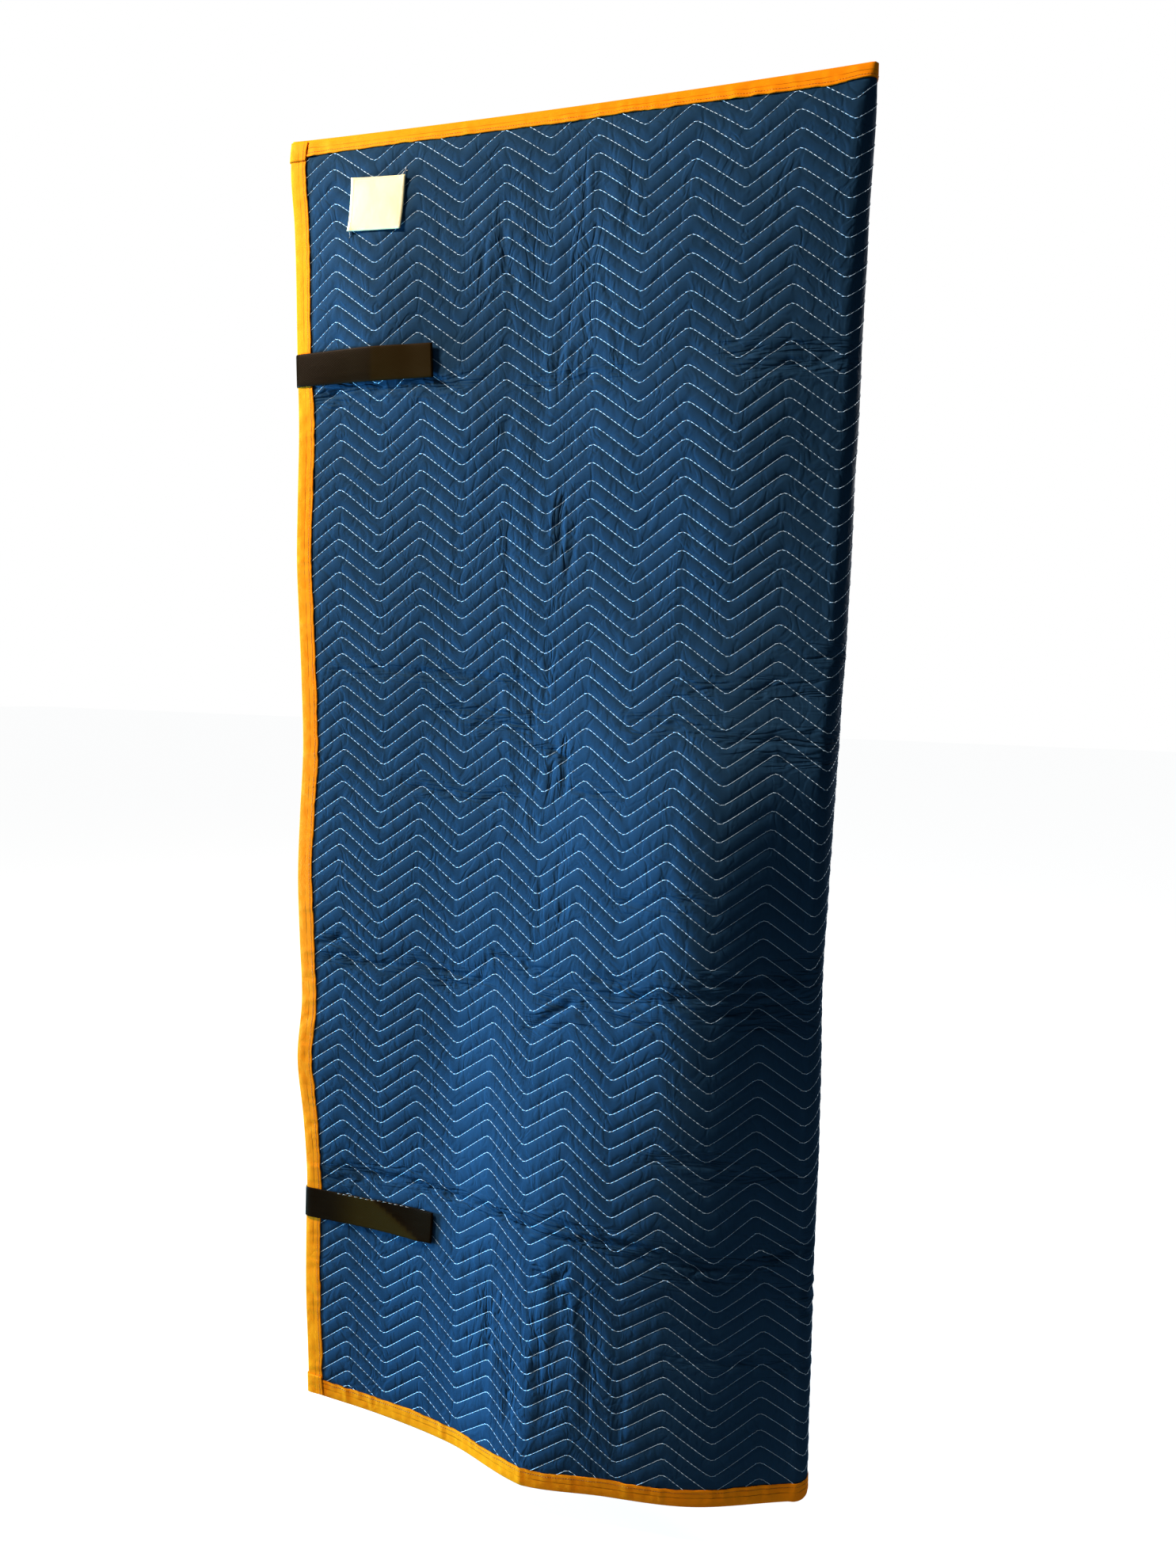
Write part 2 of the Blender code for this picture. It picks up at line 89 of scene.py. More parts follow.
# How it hangs, as in the solids.
TOP_HEIGHT = 73.0 * MM
FRONT_FACE = 28.5 * MM
BACK_FACE = 28.5 * MM
SEAM_DEPTH = 2 * PRESSED_THICKNESS + 1.0 * MM
OPENING_HEIGHT = 78.0 * MM
FOLD_RADIUS = 22.0 * MM
SLIP = 25.0 * MM
SLIP_FROM, SLIP_TO = 1530.0 * MM, 1700.0 * MM
BACK_FOLD_DEPTH = 23.0 * MM
BACK_FOLD_COUNT = 2
BACK_FOLD_FROM, BACK_FOLD_TO = 800.0 * MM, 2030.0 * MM
UPPER_TAKE_UP, UPPER_TAKE_UP_TO = 5.0 * MM, 500.0 * MM
LOWER_TAKE_UP, BELLY_TAKE_UP = 4.0 * MM, 11.0 * MM
LOWER_TAKE_UP_FROM, LOWER_TAKE_UP_TO = 1050.0 * MM, 2000.0 * MM

TOP_SAG = 5.0 * MM
TAPE_WIDTH = 27.0 * MM
TAPE_GAP = 0.3 * MM
TAPE_THICKNESS = 1.2 * MM
TAPE_END = TAPE_WIDTH + 1.2 * MM
TAPE_STEP = 3.5 * MM
END_GAP = TAPE_GAP + TAPE_THICKNESS + 0.8 * MM
SOFT_EDGE_FROM, SOFT_EDGE_TO = TAPE_WIDTH + 1.5 * MM, TAPE_WIDTH + 9.0 * MM

# The front's hung shape, one row a height. The columns edge to fold say how far the
# stitched face stands forward of the front face line at seven places from the free edge to
# the start of the fold. The x columns place the free edge, the fold and the back's edge.
Section = namedtuple("Section", "down edge_x edge near left middle right far fold fold_x back_x")
SECTIONS = [Section(*row) for row in (
    (0, -436, -6, -6, -6, -6, -6, -6, -6, 442, -436),
    (30, -435, 0, 2, 2, 1, 3, 3, 0, 442, -435),
    (130, -430, -3, 7, 5, 6, 11, 11, 3, 440, -432),
    (330, -425, -5, 10, 2, 2, 16, 17, 2, 438, -430),
    (435, -422, -5, -3, 2, 4, 18, 25, 5, 438, -430),
    (540, -423, -4, -4, -3, 6, 16, 23, 6, 437, -430),
    (640, -424, -4, -4, -4, 4, 14, 23, 8, 437, -430),
    (740, -419, -4, -4, -4, 6, 21, 26, 12, 436, -430),
    (840, -414, -4, -4, -3, 11, 34, 41, 22, 434, -428),
    (940, -411, -4, -3, 2, 17, 49, 66, 38, 432, -426),
    (1045, -416, -4, 0, 7, 24, 59, 79, 30, 430, -426),
    (1150, -418, -2, 2, 9, 29, 59, 82, 22, 427, -425),
    (1250, -414, -2, 2, 8, 36, 68, 84, 15, 426, -423),
    (1350, -410, -3, 2, 8, 43, 73, 79, 12, 429, -421),
    (1450, -416, 0, 2, 10, 51, 81, 78, 10, 431, -420),
    (1550, -406, -3, 1, 14, 61, 84, 74, 9, 432, -418),
    (1650, -399, -4, -3, 18, 62, 83, 70, 8, 432, -416),
    (1750, -400, -4, 0, 23, 60, 75, 61, 5, 433, -415),
    (1850, -399, -3, 2, 25, 65, 77, 61, 2, 434, -414),
    (1950, -394, -2, 3, 26, 70, 75, 59, 0, 436, -413),
    (2060, -390, -2, 3, 26, 70, 67, 53, 0, 437, -412),
)]

# The hem: cloth distance from the front's free edge, and cloth length there.
Hem = namedtuple("Hem", "across down")
HEM = (
    Hem(0, 2035), Hem(150, 2044), Hem(300, 2049), Hem(424, 2050), Hem(560, 2037), Hem(862, 2019),
    Hem(1100, 2024), Hem(1786, 2028),
)

# Broad dents across the front, as in the solids: height, ends, depth and half width.
Dent = namedtuple("Dent", "down start end depth half_width")
DENTS = (
    Dent(395, 20, 190, 2.0, 22),
    Dent(842, 280, 860, 2.0, 26),
    Dent(1272, 60, 860, 2.5, 24),
    Dent(1640, 40, 800, 2.5, 16),
)
DENT_FADE = 60.0 * MM

# The crest of the belly, which runs down to the pleat at the hem: its two ends on the
# cloth, height and half width.
Crest = namedtuple("Crest", "across down to_across to_down height half_width")
CREST = Crest(500, 1250, 424, 2045, 7.0, 42)
CREST_SPREAD = 2.4

# Creases of slack cloth, as strokes from one place to another, with depth and half width.
Crease = namedtuple("Crease", "across down to_across to_down depth half_width")
CREASES = [Crease(*row) for row in (
    (20, 398, 110, 374, 1.6, 6), (30, 386, 90, 392, 1.0, 5), (100, 388, 320, 384, 0.9, 5),
    (380, 392, 560, 384, 0.6, 5), (690, 366, 860, 370, 1.1, 6), (720, 392, 880, 384, 1.2, 6),
    (318, 160, 326, 280, 1.0, 5), (352, 130, 362, 240, 1.0, 5), (372, 210, 366, 300, 0.8, 5),
    (396, 150, 408, 260, 0.7, 5), (430, 400, 462, 290, 1.1, 5), (452, 420, 478, 330, 0.9, 5),
    (366, 430, 352, 490, 1.1, 5), (476, 60, 480, 260, 0.9, 6), (496, 150, 488, 380, 0.7, 6),
    (512, 230, 548, 400, 0.8, 6), (550, 90, 552, 210, 0.7, 6), (250, 120, 262, 260, 0.6, 6),
    (288, 540, 280, 720, 0.6, 6), (360, 560, 372, 700, 0.8, 5), (456, 545, 450, 665, 1.9, 5),
    (474, 590, 466, 690, 1.2, 5), (438, 730, 462, 690, 0.9, 5), (430, 860, 446, 770, 1.1, 5),
    (404, 840, 412, 900, 0.9, 5), (390, 770, 384, 850, 0.7, 5), (468, 900, 462, 1010, 1.8, 5),
    (444, 900, 438, 1000, 1.3, 5), (422, 930, 414, 1060, 0.9, 5), (480, 1040, 462, 1130, 0.9, 5),
    (486, 1140, 466, 1190, 1.4, 5), (440, 1090, 430, 1230, 0.9, 5), (60, 812, 420, 826, 0.8, 5),
    (240, 872, 420, 880, 1.0, 5), (300, 900, 440, 884, 0.9, 5), (180, 990, 330, 1006, 0.8, 5),
    (320, 1004, 400, 990, 0.8, 5), (380, 905, 480, 940, 0.9, 5), (630, 832, 720, 822, 1.2, 5),
    (560, 884, 720, 878, 1.1, 6), (740, 826, 880, 834, 1.3, 6), (700, 900, 880, 896, 1.6, 6),
    (760, 926, 880, 920, 1.1, 5), (820, 782, 890, 776, 1.2, 5), (470, 980, 560, 985, 1.0, 5),
    (560, 1140, 700, 1120, 0.7, 6), (16, 1262, 90, 1244, 1.5, 5), (24, 1278, 190, 1286, 1.0, 5),
    (190, 1270, 340, 1290, 1.2, 5), (230, 1302, 350, 1290, 1.1, 5), (326, 1290, 352, 1236, 1.4, 5),
    (350, 1238, 470, 1262, 1.0, 5), (418, 1352, 520, 1276, 1.9, 6), (440, 1290, 540, 1318, 1.3, 6),
    (520, 1252, 640, 1246, 1.0, 5), (540, 1276, 700, 1254, 1.4, 6), (560, 1298, 650, 1308, 0.9, 5),
    (690, 1236, 890, 1228, 1.9, 6), (640, 1256, 800, 1250, 1.6, 6), (700, 1276, 880, 1266, 1.8, 6),
    (760, 1296, 890, 1292, 1.2, 5), (800, 1212, 890, 1200, 1.0, 5), (620, 1498, 760, 1492, 0.9, 6),
    (700, 1520, 880, 1512, 0.9, 6), (22, 1636, 200, 1638, 1.6, 5), (24, 1656, 120, 1644, 1.2, 5),
    (150, 1628, 330, 1644, 2.2, 5), (300, 1640, 470, 1644, 2.5, 5), (430, 1622, 560, 1634, 1.3, 5),
    (450, 1648, 620, 1632, 2.4, 5), (560, 1630, 700, 1646, 2.2, 5), (640, 1654, 800, 1656, 2.4, 5),
    (760, 1646, 890, 1618, 2.0, 5), (600, 1672, 740, 1676, 1.3, 5), (800, 1690, 890, 1700, 1.5, 5),
    (820, 1716, 885, 1724, 1.2, 5), (470, 1730, 500, 1686, 1.8, 5), (486, 1752, 520, 1700, 1.4, 5),
    (440, 1700, 478, 1724, 1.3, 5), (352, 1770, 362, 1900, 1.6, 6), (376, 1760, 380, 1880, 1.0, 5),
    (398, 1850, 404, 1990, 1.3, 6), (330, 1790, 322, 1880, 0.8, 5), (446, 1780, 452, 1900, 1.5, 6),
    (470, 1800, 462, 1950, 1.0, 6), (512, 1740, 536, 1870, 1.6, 6), (534, 1840, 528, 1940, 1.1, 6),
    (580, 1850, 572, 1960, 1.1, 6), (520, 2030, 556, 1980, 1.3, 5), (424, 1980, 426, 2044, -1.6, 5),
    (640, 1800, 840, 1796, 0.8, 6), (780, 1810, 890, 1804, 1.1, 5),
)]

# Upright ripples: middle and half width of the band, its two ends, depth and spacing.
Ripple = namedtuple("Ripple", "across half_width top foot depth spacing")
RIPPLES = (
    Ripple(400, 75, 40, 1100, 0.9, 26),
    Ripple(500, 60, 40, 460, 0.8, 26),
    Ripple(430, 110, 1080, 1640, 0.8, 28),
    Ripple(420, 140, 1660, 2010, 1.5, 30),
    Ripple(570, 70, 1700, 2010, 0.9, 30),
    Ripple(645, 40, 560, 1350, 0.7, 30),
    Ripple(850, 40, 80, 1990, 0.5, 30),
    Ripple(1150, 110, 80, 1990, 0.7, 36),
    Ripple(1480, 110, 80, 1990, 0.7, 36),
)

RIPPLE_FADE = 80.0 * MM

# How much deeper than their table the level creases and the upright ones lie, and how strongly
# each, and a ripple, roughens the cloth round it with small wrinkles.
LEVEL_DEPTH, UPRIGHT_DEPTH = 2.2, 1.2
LEVEL_CRUMPLE, UPRIGHT_CRUMPLE, RIPPLE_CRUMPLE = 1.0, 0.38, 0.13
CRUMPLE_REACH = 2.6

# Straps: height of the middle line, length on the front, how far the free end lifts, and a
# soft ridge across the strap: its place along the front at the upper and the lower edge, where
# it starts to rise, and its height; then how much painted sheen, a lighter olive tone that
# stands in for light on the webbing, lies before the ridge and after it. A frayed strap shows
# pale loose stitches along its edge.
Strap = namedtuple("Strap", "name down length end_lift ridge_top ridge_foot ridge_from ridge "
                            "worn_before worn_after frayed")
STRAPS = (
    Strap("strap_upper", 349, 243, 3.0, 0.585, 0.565, 0.40, 1.6, 0.1, 0.5, False),
    Strap("strap_lower", 1702, 241, 1.5, 0.52, 0.90, 0.10, 5.0, 0.9, 0.0, True),
)
STRAP_WIDTH = 50.0 * MM
STRAP_LIFT = 3.0 * MM
STRAP_SEWN_LENGTH = 90.0 * MM
STRAP_SIDE = 3.0 * MM
STRAP_PAST = 8.4 * MM

# A strap's lines across its width, in halves of it, and the rows along it that its stitches
# and lines take: the box stitch on the back and the frayed part on the front.
STRAP_LINES = np.array((-1.0, -0.97, -0.9, -0.7, -0.45, -0.2, 0.0, 0.2, 0.45, 0.7, 0.9, 0.97, 1.0))
STRAP_ROWS = 96
BOX_ROWS, BOX_LINES = slice(1, 10), slice(2, 11)
FRAYED_ROWS, FRAYED_LINE = slice(52, 84), 1

Patch = namedtuple("Patch", "across down width height side_tilt_deg top_tilt_deg")
LABEL = Patch(149.5, 113, 91, 78, 7.0, 3.2)
LABEL_LIFT = 3.2 * MM

# Loose ends of the label's thread, from its middle: where each starts and ends, and its bow.
ThreadTail = namedtuple("ThreadTail", "x y to_x to_y bow")
THREAD_TAILS = (
    ThreadTail(36, -38, 44, -51, 2.5), ThreadTail(41, -39, 46, -46, -1.5),
    ThreadTail(-43, 38, -42, 47, 1.5),
)

# Sewing: distance from one stitch to the next, and a stitch's length and width. A quilting
# stitch is a little longer than its spacing, so that the thread reads as one line.
Stitch = namedtuple("Stitch", "spacing length width")
TAPE_STITCH = Stitch(4.0 * MM, 3.0 * MM, 0.6 * MM)
STRAP_STITCH = Stitch(4.0 * MM, 3.0 * MM, 0.7 * MM)
LOOSE_STITCH = Stitch(10.0 * MM, 6.5 * MM, 0.5 * MM)
LABEL_STITCH = Stitch(3.0 * MM, 2.4 * MM, 0.5 * MM)
TAIL_STITCH = Stitch(1.5 * MM, 2.0 * MM, 0.8 * MM)
QUILTING_LENGTH = 1.15
QUILTING_LIFT = 0.45 * MM
FRONT_QUILTING_END = FOLD_MIDDLE + 20.0 * MM

# Camera, in the frame: where it stands and the way it points.
CAMERA_PLACE = (0.570, -1.588, -0.752)
CAMERA_RIGHT = (0.9518, 0.3056, 0.0280)
CAMERA_UP = (-0.0534, 0.0752, 0.9957)
CAMERA_BACK = (0.3022, -0.9492, 0.0879)
CAMERA_LENS, CAMERA_SENSOR = 25.45, 36.0

# Lights: where each stands, the place that it points at, its side, power and colour.
Light = namedtuple("Light", "name place target side power colour")
LIGHTS = (
    Light("key", (-3.6, -0.42, -1.45), (0.0, 0.0, -1.4), 0.8, 530.0, (0.21, 0.65, 1.0)),
    Light("front", (-1.9, -1.15, 1.2), (0.0, 0.0, -0.4), 0.5, 188.0, (1.0, 0.80, 0.66)),
    Light("back", (1.6, 3.2, 0.4), (0.0, 0.0, -0.9), 1.2, 110.0, (1.0, 1.0, 1.0)),
)
WORLD_COLOUR, WORLD_STRENGTH = (0.8, 0.93, 1.0, 1.0), 0.11
FLOOR_COLOUR, FLOOR_GLOW = (0.3, 0.3, 0.295, 1.0), 0.94
FLOOR_DROP, FLOOR_REACH = 0.05, 30.0

# Fineness: readings of the hung shape, points of its outline, columns of the quilt's mesh to
# one wave of stitching on the front and on the back, rows between two stitch lines, and the
# plain inner face.
GRID_ACROSS, GRID_DOWN = 900, 420
SIDE_POINTS, TURN_POINTS = 121, 61
FINE_COLUMNS, COARSE_COLUMNS = 24, 12
ROW_STEPS = np.array((0.0, 0.1, 0.35, 0.65, 0.9))
INNER_COLUMNS, INNER_ROWS = 75, 62
SEED = 11


def smooth_curve(knots, values, where):
    """Read a smooth curve through the given points, with no overshoot past its ends."""
    knots = np.asarray(knots, float)
    values = np.asarray(values, float)
    slopes = np.gradient(values, knots)
    where = np.clip(where, knots[0], knots[-1])
    index = np.clip(np.searchsorted(knots, where, side="right") - 1, 0, len(knots) - 2)
    span = knots[index + 1] - knots[index]
    t = (where - knots[index]) / span
    start = (1 + 2 * t) * (1 - t) ** 2 * values[index] + t * (1 - t) ** 2 * span * slopes[index]
    end = t * t * (3 - 2 * t) * values[index + 1] + t * t * (t - 1) * span * slopes[index + 1]
    return start + end


def ramp(value, low, high):
    """Rise smoothly from 0 at low to 1 at high."""
    t = np.clip((value - low) / (high - low), 0.0, 1.0)
    return t * t * (3 - 2 * t)


def plateau(value, start, end, fade):
    """Rise smoothly from 0 at start to 1, and fall back to 0 at end."""
    return ramp(value, start, start + fade) * (1 - ramp(value, end - fade, end))


def bell(value, middle=0.0, width=1.0):
    """A smooth hump, 1 at its middle."""
    return np.exp(-((value - middle) / width) ** 2)


def unit(vectors):
    """Vectors brought to length one."""
    return vectors / np.linalg.norm(vectors, axis=-1, keepdims=True)


def run_lengths(points):
    """Length along a run of points, from its start to each of them."""
    steps = np.linalg.norm(np.diff(points, axis=0), axis=1)
    return np.concatenate(([0.0], np.cumsum(steps)))


class SoftNoise:
    """Smooth noise from -1 to 1 over two coordinates, the same on each run."""

    def __init__(self, seed):
        self.values = np.random.default_rng(seed).uniform(-1.0, 1.0, (256, 256))

    def __call__(self, x, y):
        x, y = np.broadcast_arrays(np.asarray(x, float), np.asarray(y, float))
        column, row = np.floor(x).astype(int), np.floor(y).astype(int)
        u, v = x - column, y - row
        u, v = u * u * (3 - 2 * u), v * v * (3 - 2 * v)
        left, right = column % 256, (column + 1) % 256
        low, high = row % 256, (row + 1) % 256
        lower = self.values[low, left] * (1 - u) + self.values[low, right] * u
        upper = self.values[high, left] * (1 - u) + self.values[high, right] * u
        return lower * (1 - v) + upper * v


noise = SoftNoise(SEED)


def section_at(down):
    """All columns of the section table at one height, in metres."""
    heights = [row.down * MM for row in SECTIONS]
    return Section(*(smooth_curve(heights, [row[i] * MM for row in SECTIONS], down)
                     for i in range(len(Section._fields))))


def front_y(section, part):
    """Y of the front's stitched face at a part (0 to 1) of the way from edge to fold."""
    places = np.linspace(0.0, 1.0, 7)
    forward = (section.edge, section.near, section.left, section.middle, section.right,
               section.far, section.fold)
    return -(FRONT_FACE + smooth_curve(places, forward, part))


def back_y(section, down, part):
    """Y of the back's stitched face at a part (0 to 1) of the way from fold to edge."""
    seam = front_y(section, 1.0 - part) + SEAM_DEPTH
    opened = np.sin(math.pi / 2 * np.clip(down / OPENING_HEIGHT, 0.0, 1.0))
    wave = 1.0 - np.cos(2 * math.pi * BACK_FOLD_COUNT * part)
    drape = BACK_FOLD_DEPTH * wave * ramp(down, BACK_FOLD_FROM, BACK_FOLD_TO)
    return seam + (BACK_FACE - seam) * opened + drape


def outline_at(down):
    """X and Y along the cloth at one height, at even cloth distances from edge to edge."""
    section = section_at(down)
    part = np.linspace(0.0, 1.0, SIDE_POINTS)
    turn = np.linspace(-math.pi / 2, math.pi / 2, TURN_POINTS)[1:]
    front = front_y(section, part)
    back = back_y(section, down, part)
    half_depth = (back[0] - front[-1]) / 2
    reach = min(FOLD_RADIUS, half_depth)
    fold_start = section.fold_x - reach
    x = np.concatenate((section.edge_x + part * (fold_start - section.edge_x),
                        fold_start + reach * np.cos(turn),
                        fold_start + part[1:] * (section.back_x - fold_start)))
    y = np.concatenate((front, front[-1] + half_depth * (1 + np.sin(turn)), back[1:]))
    length = run_lengths(np.stack((x, y), axis=-1))
    middle = len(part) - 1 + len(turn) // 2
    fold_at = FOLD_MIDDLE - SLIP * ramp(down, SLIP_FROM, SLIP_TO)
    rest = (length - length[middle]) / (length[-1] - length[middle])
    cloth = np.where(length <= length[middle], length / length[middle] * fold_at,
                     fold_at + rest * (CLOTH_WIDTH - fold_at))
    across = np.linspace(0.0, CLOTH_WIDTH, GRID_ACROSS)
    return np.interp(across, cloth, x), np.interp(across, cloth, y)


def dent_depth(across, down):
    """How far the broad dents press the front in at a place on the cloth."""
    total = np.zeros(np.broadcast(across, down).shape)
    for dent in DENTS:
        ends = plateau(across, dent.start * MM, dent.end * MM, DENT_FADE)
        total = total + dent.depth * MM * ends * bell(down, dent.down * MM, dent.half_width * MM)
    return total


def stroke(line, across, down):
    """Distance from a stroke, in its half widths, and how far along it a place lies."""
    start = np.array((line.across, line.down)) * MM
    run = np.array((line.to_across, line.to_down)) * MM - start
    length = float(np.hypot(*run))
    beyond_x, beyond_y = across - start[0], down - start[1]
    along = (beyond_x * run[0] + beyond_y * run[1]) / length ** 2
    away = (beyond_y * run[0] - beyond_x * run[1]) / length
    return away / (line.half_width * MM), along


def crest_height(across, down):
    """Height of the belly's crest, which fades in from its upper end."""
    away, along = stroke(CREST, across, down)
    away = np.where(away < 0.0, away / CREST_SPREAD, away)
    return CREST.height * MM * np.exp(-np.abs(away)) * ramp(along, 0.0, 0.7)


class HungCloth:
    """The stitched outer face of the hung quilt, read by cloth distance across and down."""

    def __init__(self):
        self.across = np.linspace(0.0, CLOTH_WIDTH, GRID_ACROSS)
        self.downs = np.linspace(0.0, SECTIONS[-1].down * MM, GRID_DOWN)
        outlines = [outline_at(down) for down in self.downs]
        x = np.array([outline[0] for outline in outlines])
        y = np.array([outline[1] for outline in outlines])
        z = np.repeat((TOP_HEIGHT - self.downs)[:, None], GRID_ACROSS, axis=1)
        places = np.stack((x, y, z), axis=-1)
        along = np.gradient(places, axis=1)
        downward = np.gradient(places, axis=0)
        self.normals = unit(np.cross(downward, along))
        spot = (self.across[None, :], self.downs[:, None])
        rise = crest_height(*spot) - dent_depth(*spot)
        self.places = places + self.normals * rise[..., None]
        share = np.clip(self.across / FOLD_MIDDLE, 0.0, 1.0)
        share = np.where(self.across > FOLD_MIDDLE,
                         (CLOTH_WIDTH - self.across) / (CLOTH_WIDTH - FOLD_MIDDLE), share)
        sag = TOP_SAG * np.sin(math.pi * share) ** 0.7
        self.places[..., 2] -= sag * (1 - ramp(self.downs, 0.0, TAPE_WIDTH))[:, None]

    def take_up(self, across, down):
        """Cloth length lost to slopes and crumples above a place."""
        upper = UPPER_TAKE_UP * np.clip(down / UPPER_TAKE_UP_TO, 0.0, 1.0)
        belly = np.sin(math.pi * np.clip(across / FOLD_MIDDLE, 0.0, 1.0)) ** 2
        lower = ramp(down, LOWER_TAKE_UP_FROM, LOWER_TAKE_UP_TO)
        return upper + (LOWER_TAKE_UP + BELLY_TAKE_UP * belly) * lower

    def read(self, grid, across, down):
        """Bilinear reading of one grid at cloth distances across and down."""
        column = np.clip(across / CLOTH_WIDTH, 0.0, 1.0) * (GRID_ACROSS - 1)
        row = np.clip((down - self.take_up(across, down)) / self.downs[-1], 0.0, 1.0)
        row = row * (GRID_DOWN - 1)
        left = np.minimum(column.astype(int), GRID_ACROSS - 2)
        top = np.minimum(row.astype(int), GRID_DOWN - 2)
        u = (column - left)[..., None]
        v = (row - top)[..., None]
        upper = grid[top, left] * (1 - u) + grid[top, left + 1] * u
        lower = grid[top + 1, left] * (1 - u) + grid[top + 1, left + 1] * u
        return upper * (1 - v) + lower * v

    def place(self, across, down, lift=0.0):
        """A point above (or, with a negative lift, below) the stitched face."""
        spot = (np.asarray(value, float) for value in (across, down, lift))
        across, down, lift = np.broadcast_arrays(*spot)
        normal = unit(self.read(self.normals, across, down))
        return self.read(self.places, across, down) + normal * lift[..., None]


@functools.cache
def hung_cloth():
    """The hung cloth, worked out once."""
    return HungCloth()


def hem_down(across):
    """Cloth length from the top edge to the hem."""
    return smooth_curve([point.across * MM for point in HEM],
                        [point.down * MM for point in HEM], across)


def zigzag(across):
    """The stitch line's rise above its middle, from -1 to 1, a little rounded at its turns."""
    roundness = 0.985
    turned = np.cos(2 * math.pi * (across - FIRST_PEAK) / WAVE_LENGTH)
    return np.arcsin(roundness * turned) / math.asin(roundness)


def line_at(across, down):
    """Which stitch line a place is on: whole numbers lie on the lines."""
    return (down - FIRST_LINE + WAVE_HEIGHT / 2 * zigzag(across)) / STITCH_PITCH


def line_down(across, line):
    """Distance down of a stitch line, or of a place between two."""
    return FIRST_LINE + line * STITCH_PITCH - WAVE_HEIGHT / 2 * zigzag(across)


def edge_distance(across, down):
    """Distance from a place to the nearest edge of the cloth."""
    side = np.minimum(across, CLOTH_WIDTH - across)
    return np.minimum(side, np.minimum(down, hem_down(across) - down))


def free_of_tape(across, down):
    """0 under the binding tapes, rising to 1 a little way inside them."""
    return ramp(edge_distance(across, down), SOFT_EDGE_FROM, SOFT_EDGE_TO)


def is_upright(crease):
    """Whether a crease runs more down the cloth than across it."""
    return abs(crease.to_down - crease.down) > abs(crease.to_across - crease.across)


def ripple_band(ripple, across, down):
    """How far a place lies within a band of ripples, from 0 to 1."""
    band = bell(across, ripple.across * MM, ripple.half_width * MM)
    return band * plateau(down, ripple.top * MM, ripple.foot * MM, RIPPLE_FADE)


def creasing(across, down):
    """Height of the fine creases and upright ripples of slack cloth."""
    total = np.zeros(np.broadcast(across, down).shape)
    for number, crease in enumerate(CREASES):
        away, along = stroke(crease, across, down)
        away = away + 0.7 * noise(along * 3, 17.3 * number)
        ends = plateau(along, 0.0, 1.0, 0.3) * (0.85 + 0.4 * noise(along * 4, 9.1 * number + 4))
        valley = 0.5 * bell(np.abs(away), 1.9) - bell(away)
        depth = (UPRIGHT_DEPTH if is_upright(crease) else LEVEL_DEPTH) * crease.depth * MM
        total = total + depth * ends * valley
    for number, ripple in enumerate(RIPPLES):
        wander = 8 * MM * noise(down / (160 * MM), 5.7 * number)
        folds = noise((across + wander) / (ripple.spacing * MM / 2), down / (120 * MM) + 31 * number)
        total = total + ripple.depth * MM * ripple_band(ripple, across, down) * folds
    return total


def crumpled(across, down):
    """How crumpled the cloth is at a place by level creases and by upright ones."""
    level, upright = np.zeros((2,) + np.broadcast(across, down).shape)
    for crease in CREASES:
        away, along = stroke(crease, across, down)
        near = abs(crease.depth) * bell(away, 0.0, CRUMPLE_REACH) * plateau(along, -0.15, 1.15, 0.35)
        if is_upright(crease):
            upright += UPRIGHT_CRUMPLE * near
        else:
            level += LEVEL_CRUMPLE * near
    for ripple in RIPPLES:
        upright += RIPPLE_CRUMPLE * ripple.depth * ripple_band(ripple, across, down)
    return [np.clip(mask, 0.0, 1.0) * free_of_tape(across, down) for mask in (level, upright)]


def unevenness(across, down):
    """Broad unevenness of the wadding and fine puckers beside the stitch lines."""
    broad = 0.5 * MM * noise(across / (75 * MM), down / (60 * MM) + 50)
    line = line_at(across, down)
    near_line = bell(line, np.round(line), 0.22)
    pucker = 0.28 * MM * noise(across / (9 * MM), np.round(line) * 3.7) * near_line
    return broad + pucker


def relief(sizes, across, down):
    """Height of the padded outer face over its stitch level."""
    line = line_at(across, down)
    between = np.sin(math.pi * (line - np.floor(line)))
    fullness = 0.95 + 0.15 * noise(across / (110 * MM), np.floor(line) * 0.61 + 7)
    drawn_flat = 1 - 0.85 * bell(across, FOLD_MIDDLE, 45 * MM)
    puff = sizes.puff * fullness * drawn_flat * between ** 0.5
    loose = creasing(across, down) + unevenness(across, down)
    return (puff + loose) * free_of_tape(across, down)


def add_object(name, data):
    """A new object in the scene, for a mesh, a light or a camera."""
    made = bpy.data.objects.new(name, data)
    bpy.context.scene.collection.objects.link(made)
    return made


def new_piece(name, points, faces, uv, material):
    """A smooth mesh object with a UV map in metres."""
    mesh = bpy.data.meshes.new(name)
    mesh.from_pydata([tuple(p) for p in points], [], faces)
    mesh.update()
    layer = mesh.uv_layers.new(name="cloth")
    corner = np.zeros(len(mesh.loops), int)
    mesh.loops.foreach_get("vertex_index", corner)
    layer.data.foreach_set("uv", np.asarray(uv, np.float32)[corner].ravel())
    mesh.shade_smooth()
    mesh.materials.append(material)
    return add_object(name, mesh)


def add_mask(piece, name, values):
    """A value from 0 to 1 at each of a piece's points, for its material to read."""
    layer = piece.data.attributes.new(name, "FLOAT", "POINT")
    layer.data.foreach_set("value", values.astype(np.float32))


def grid_faces(index):
    """Four-sided faces over a grid of vertex numbers."""
    corners = (index[:-1, :-1], index[1:, :-1], index[1:, 1:], index[:-1, 1:])
    return np.stack(corners, axis=-1).reshape(-1, 4).tolist()


def spread(across, down):
    """A UV map in metres over a grid of cloth distances."""
    return np.stack(np.broadcast_arrays(across, down), axis=-1)


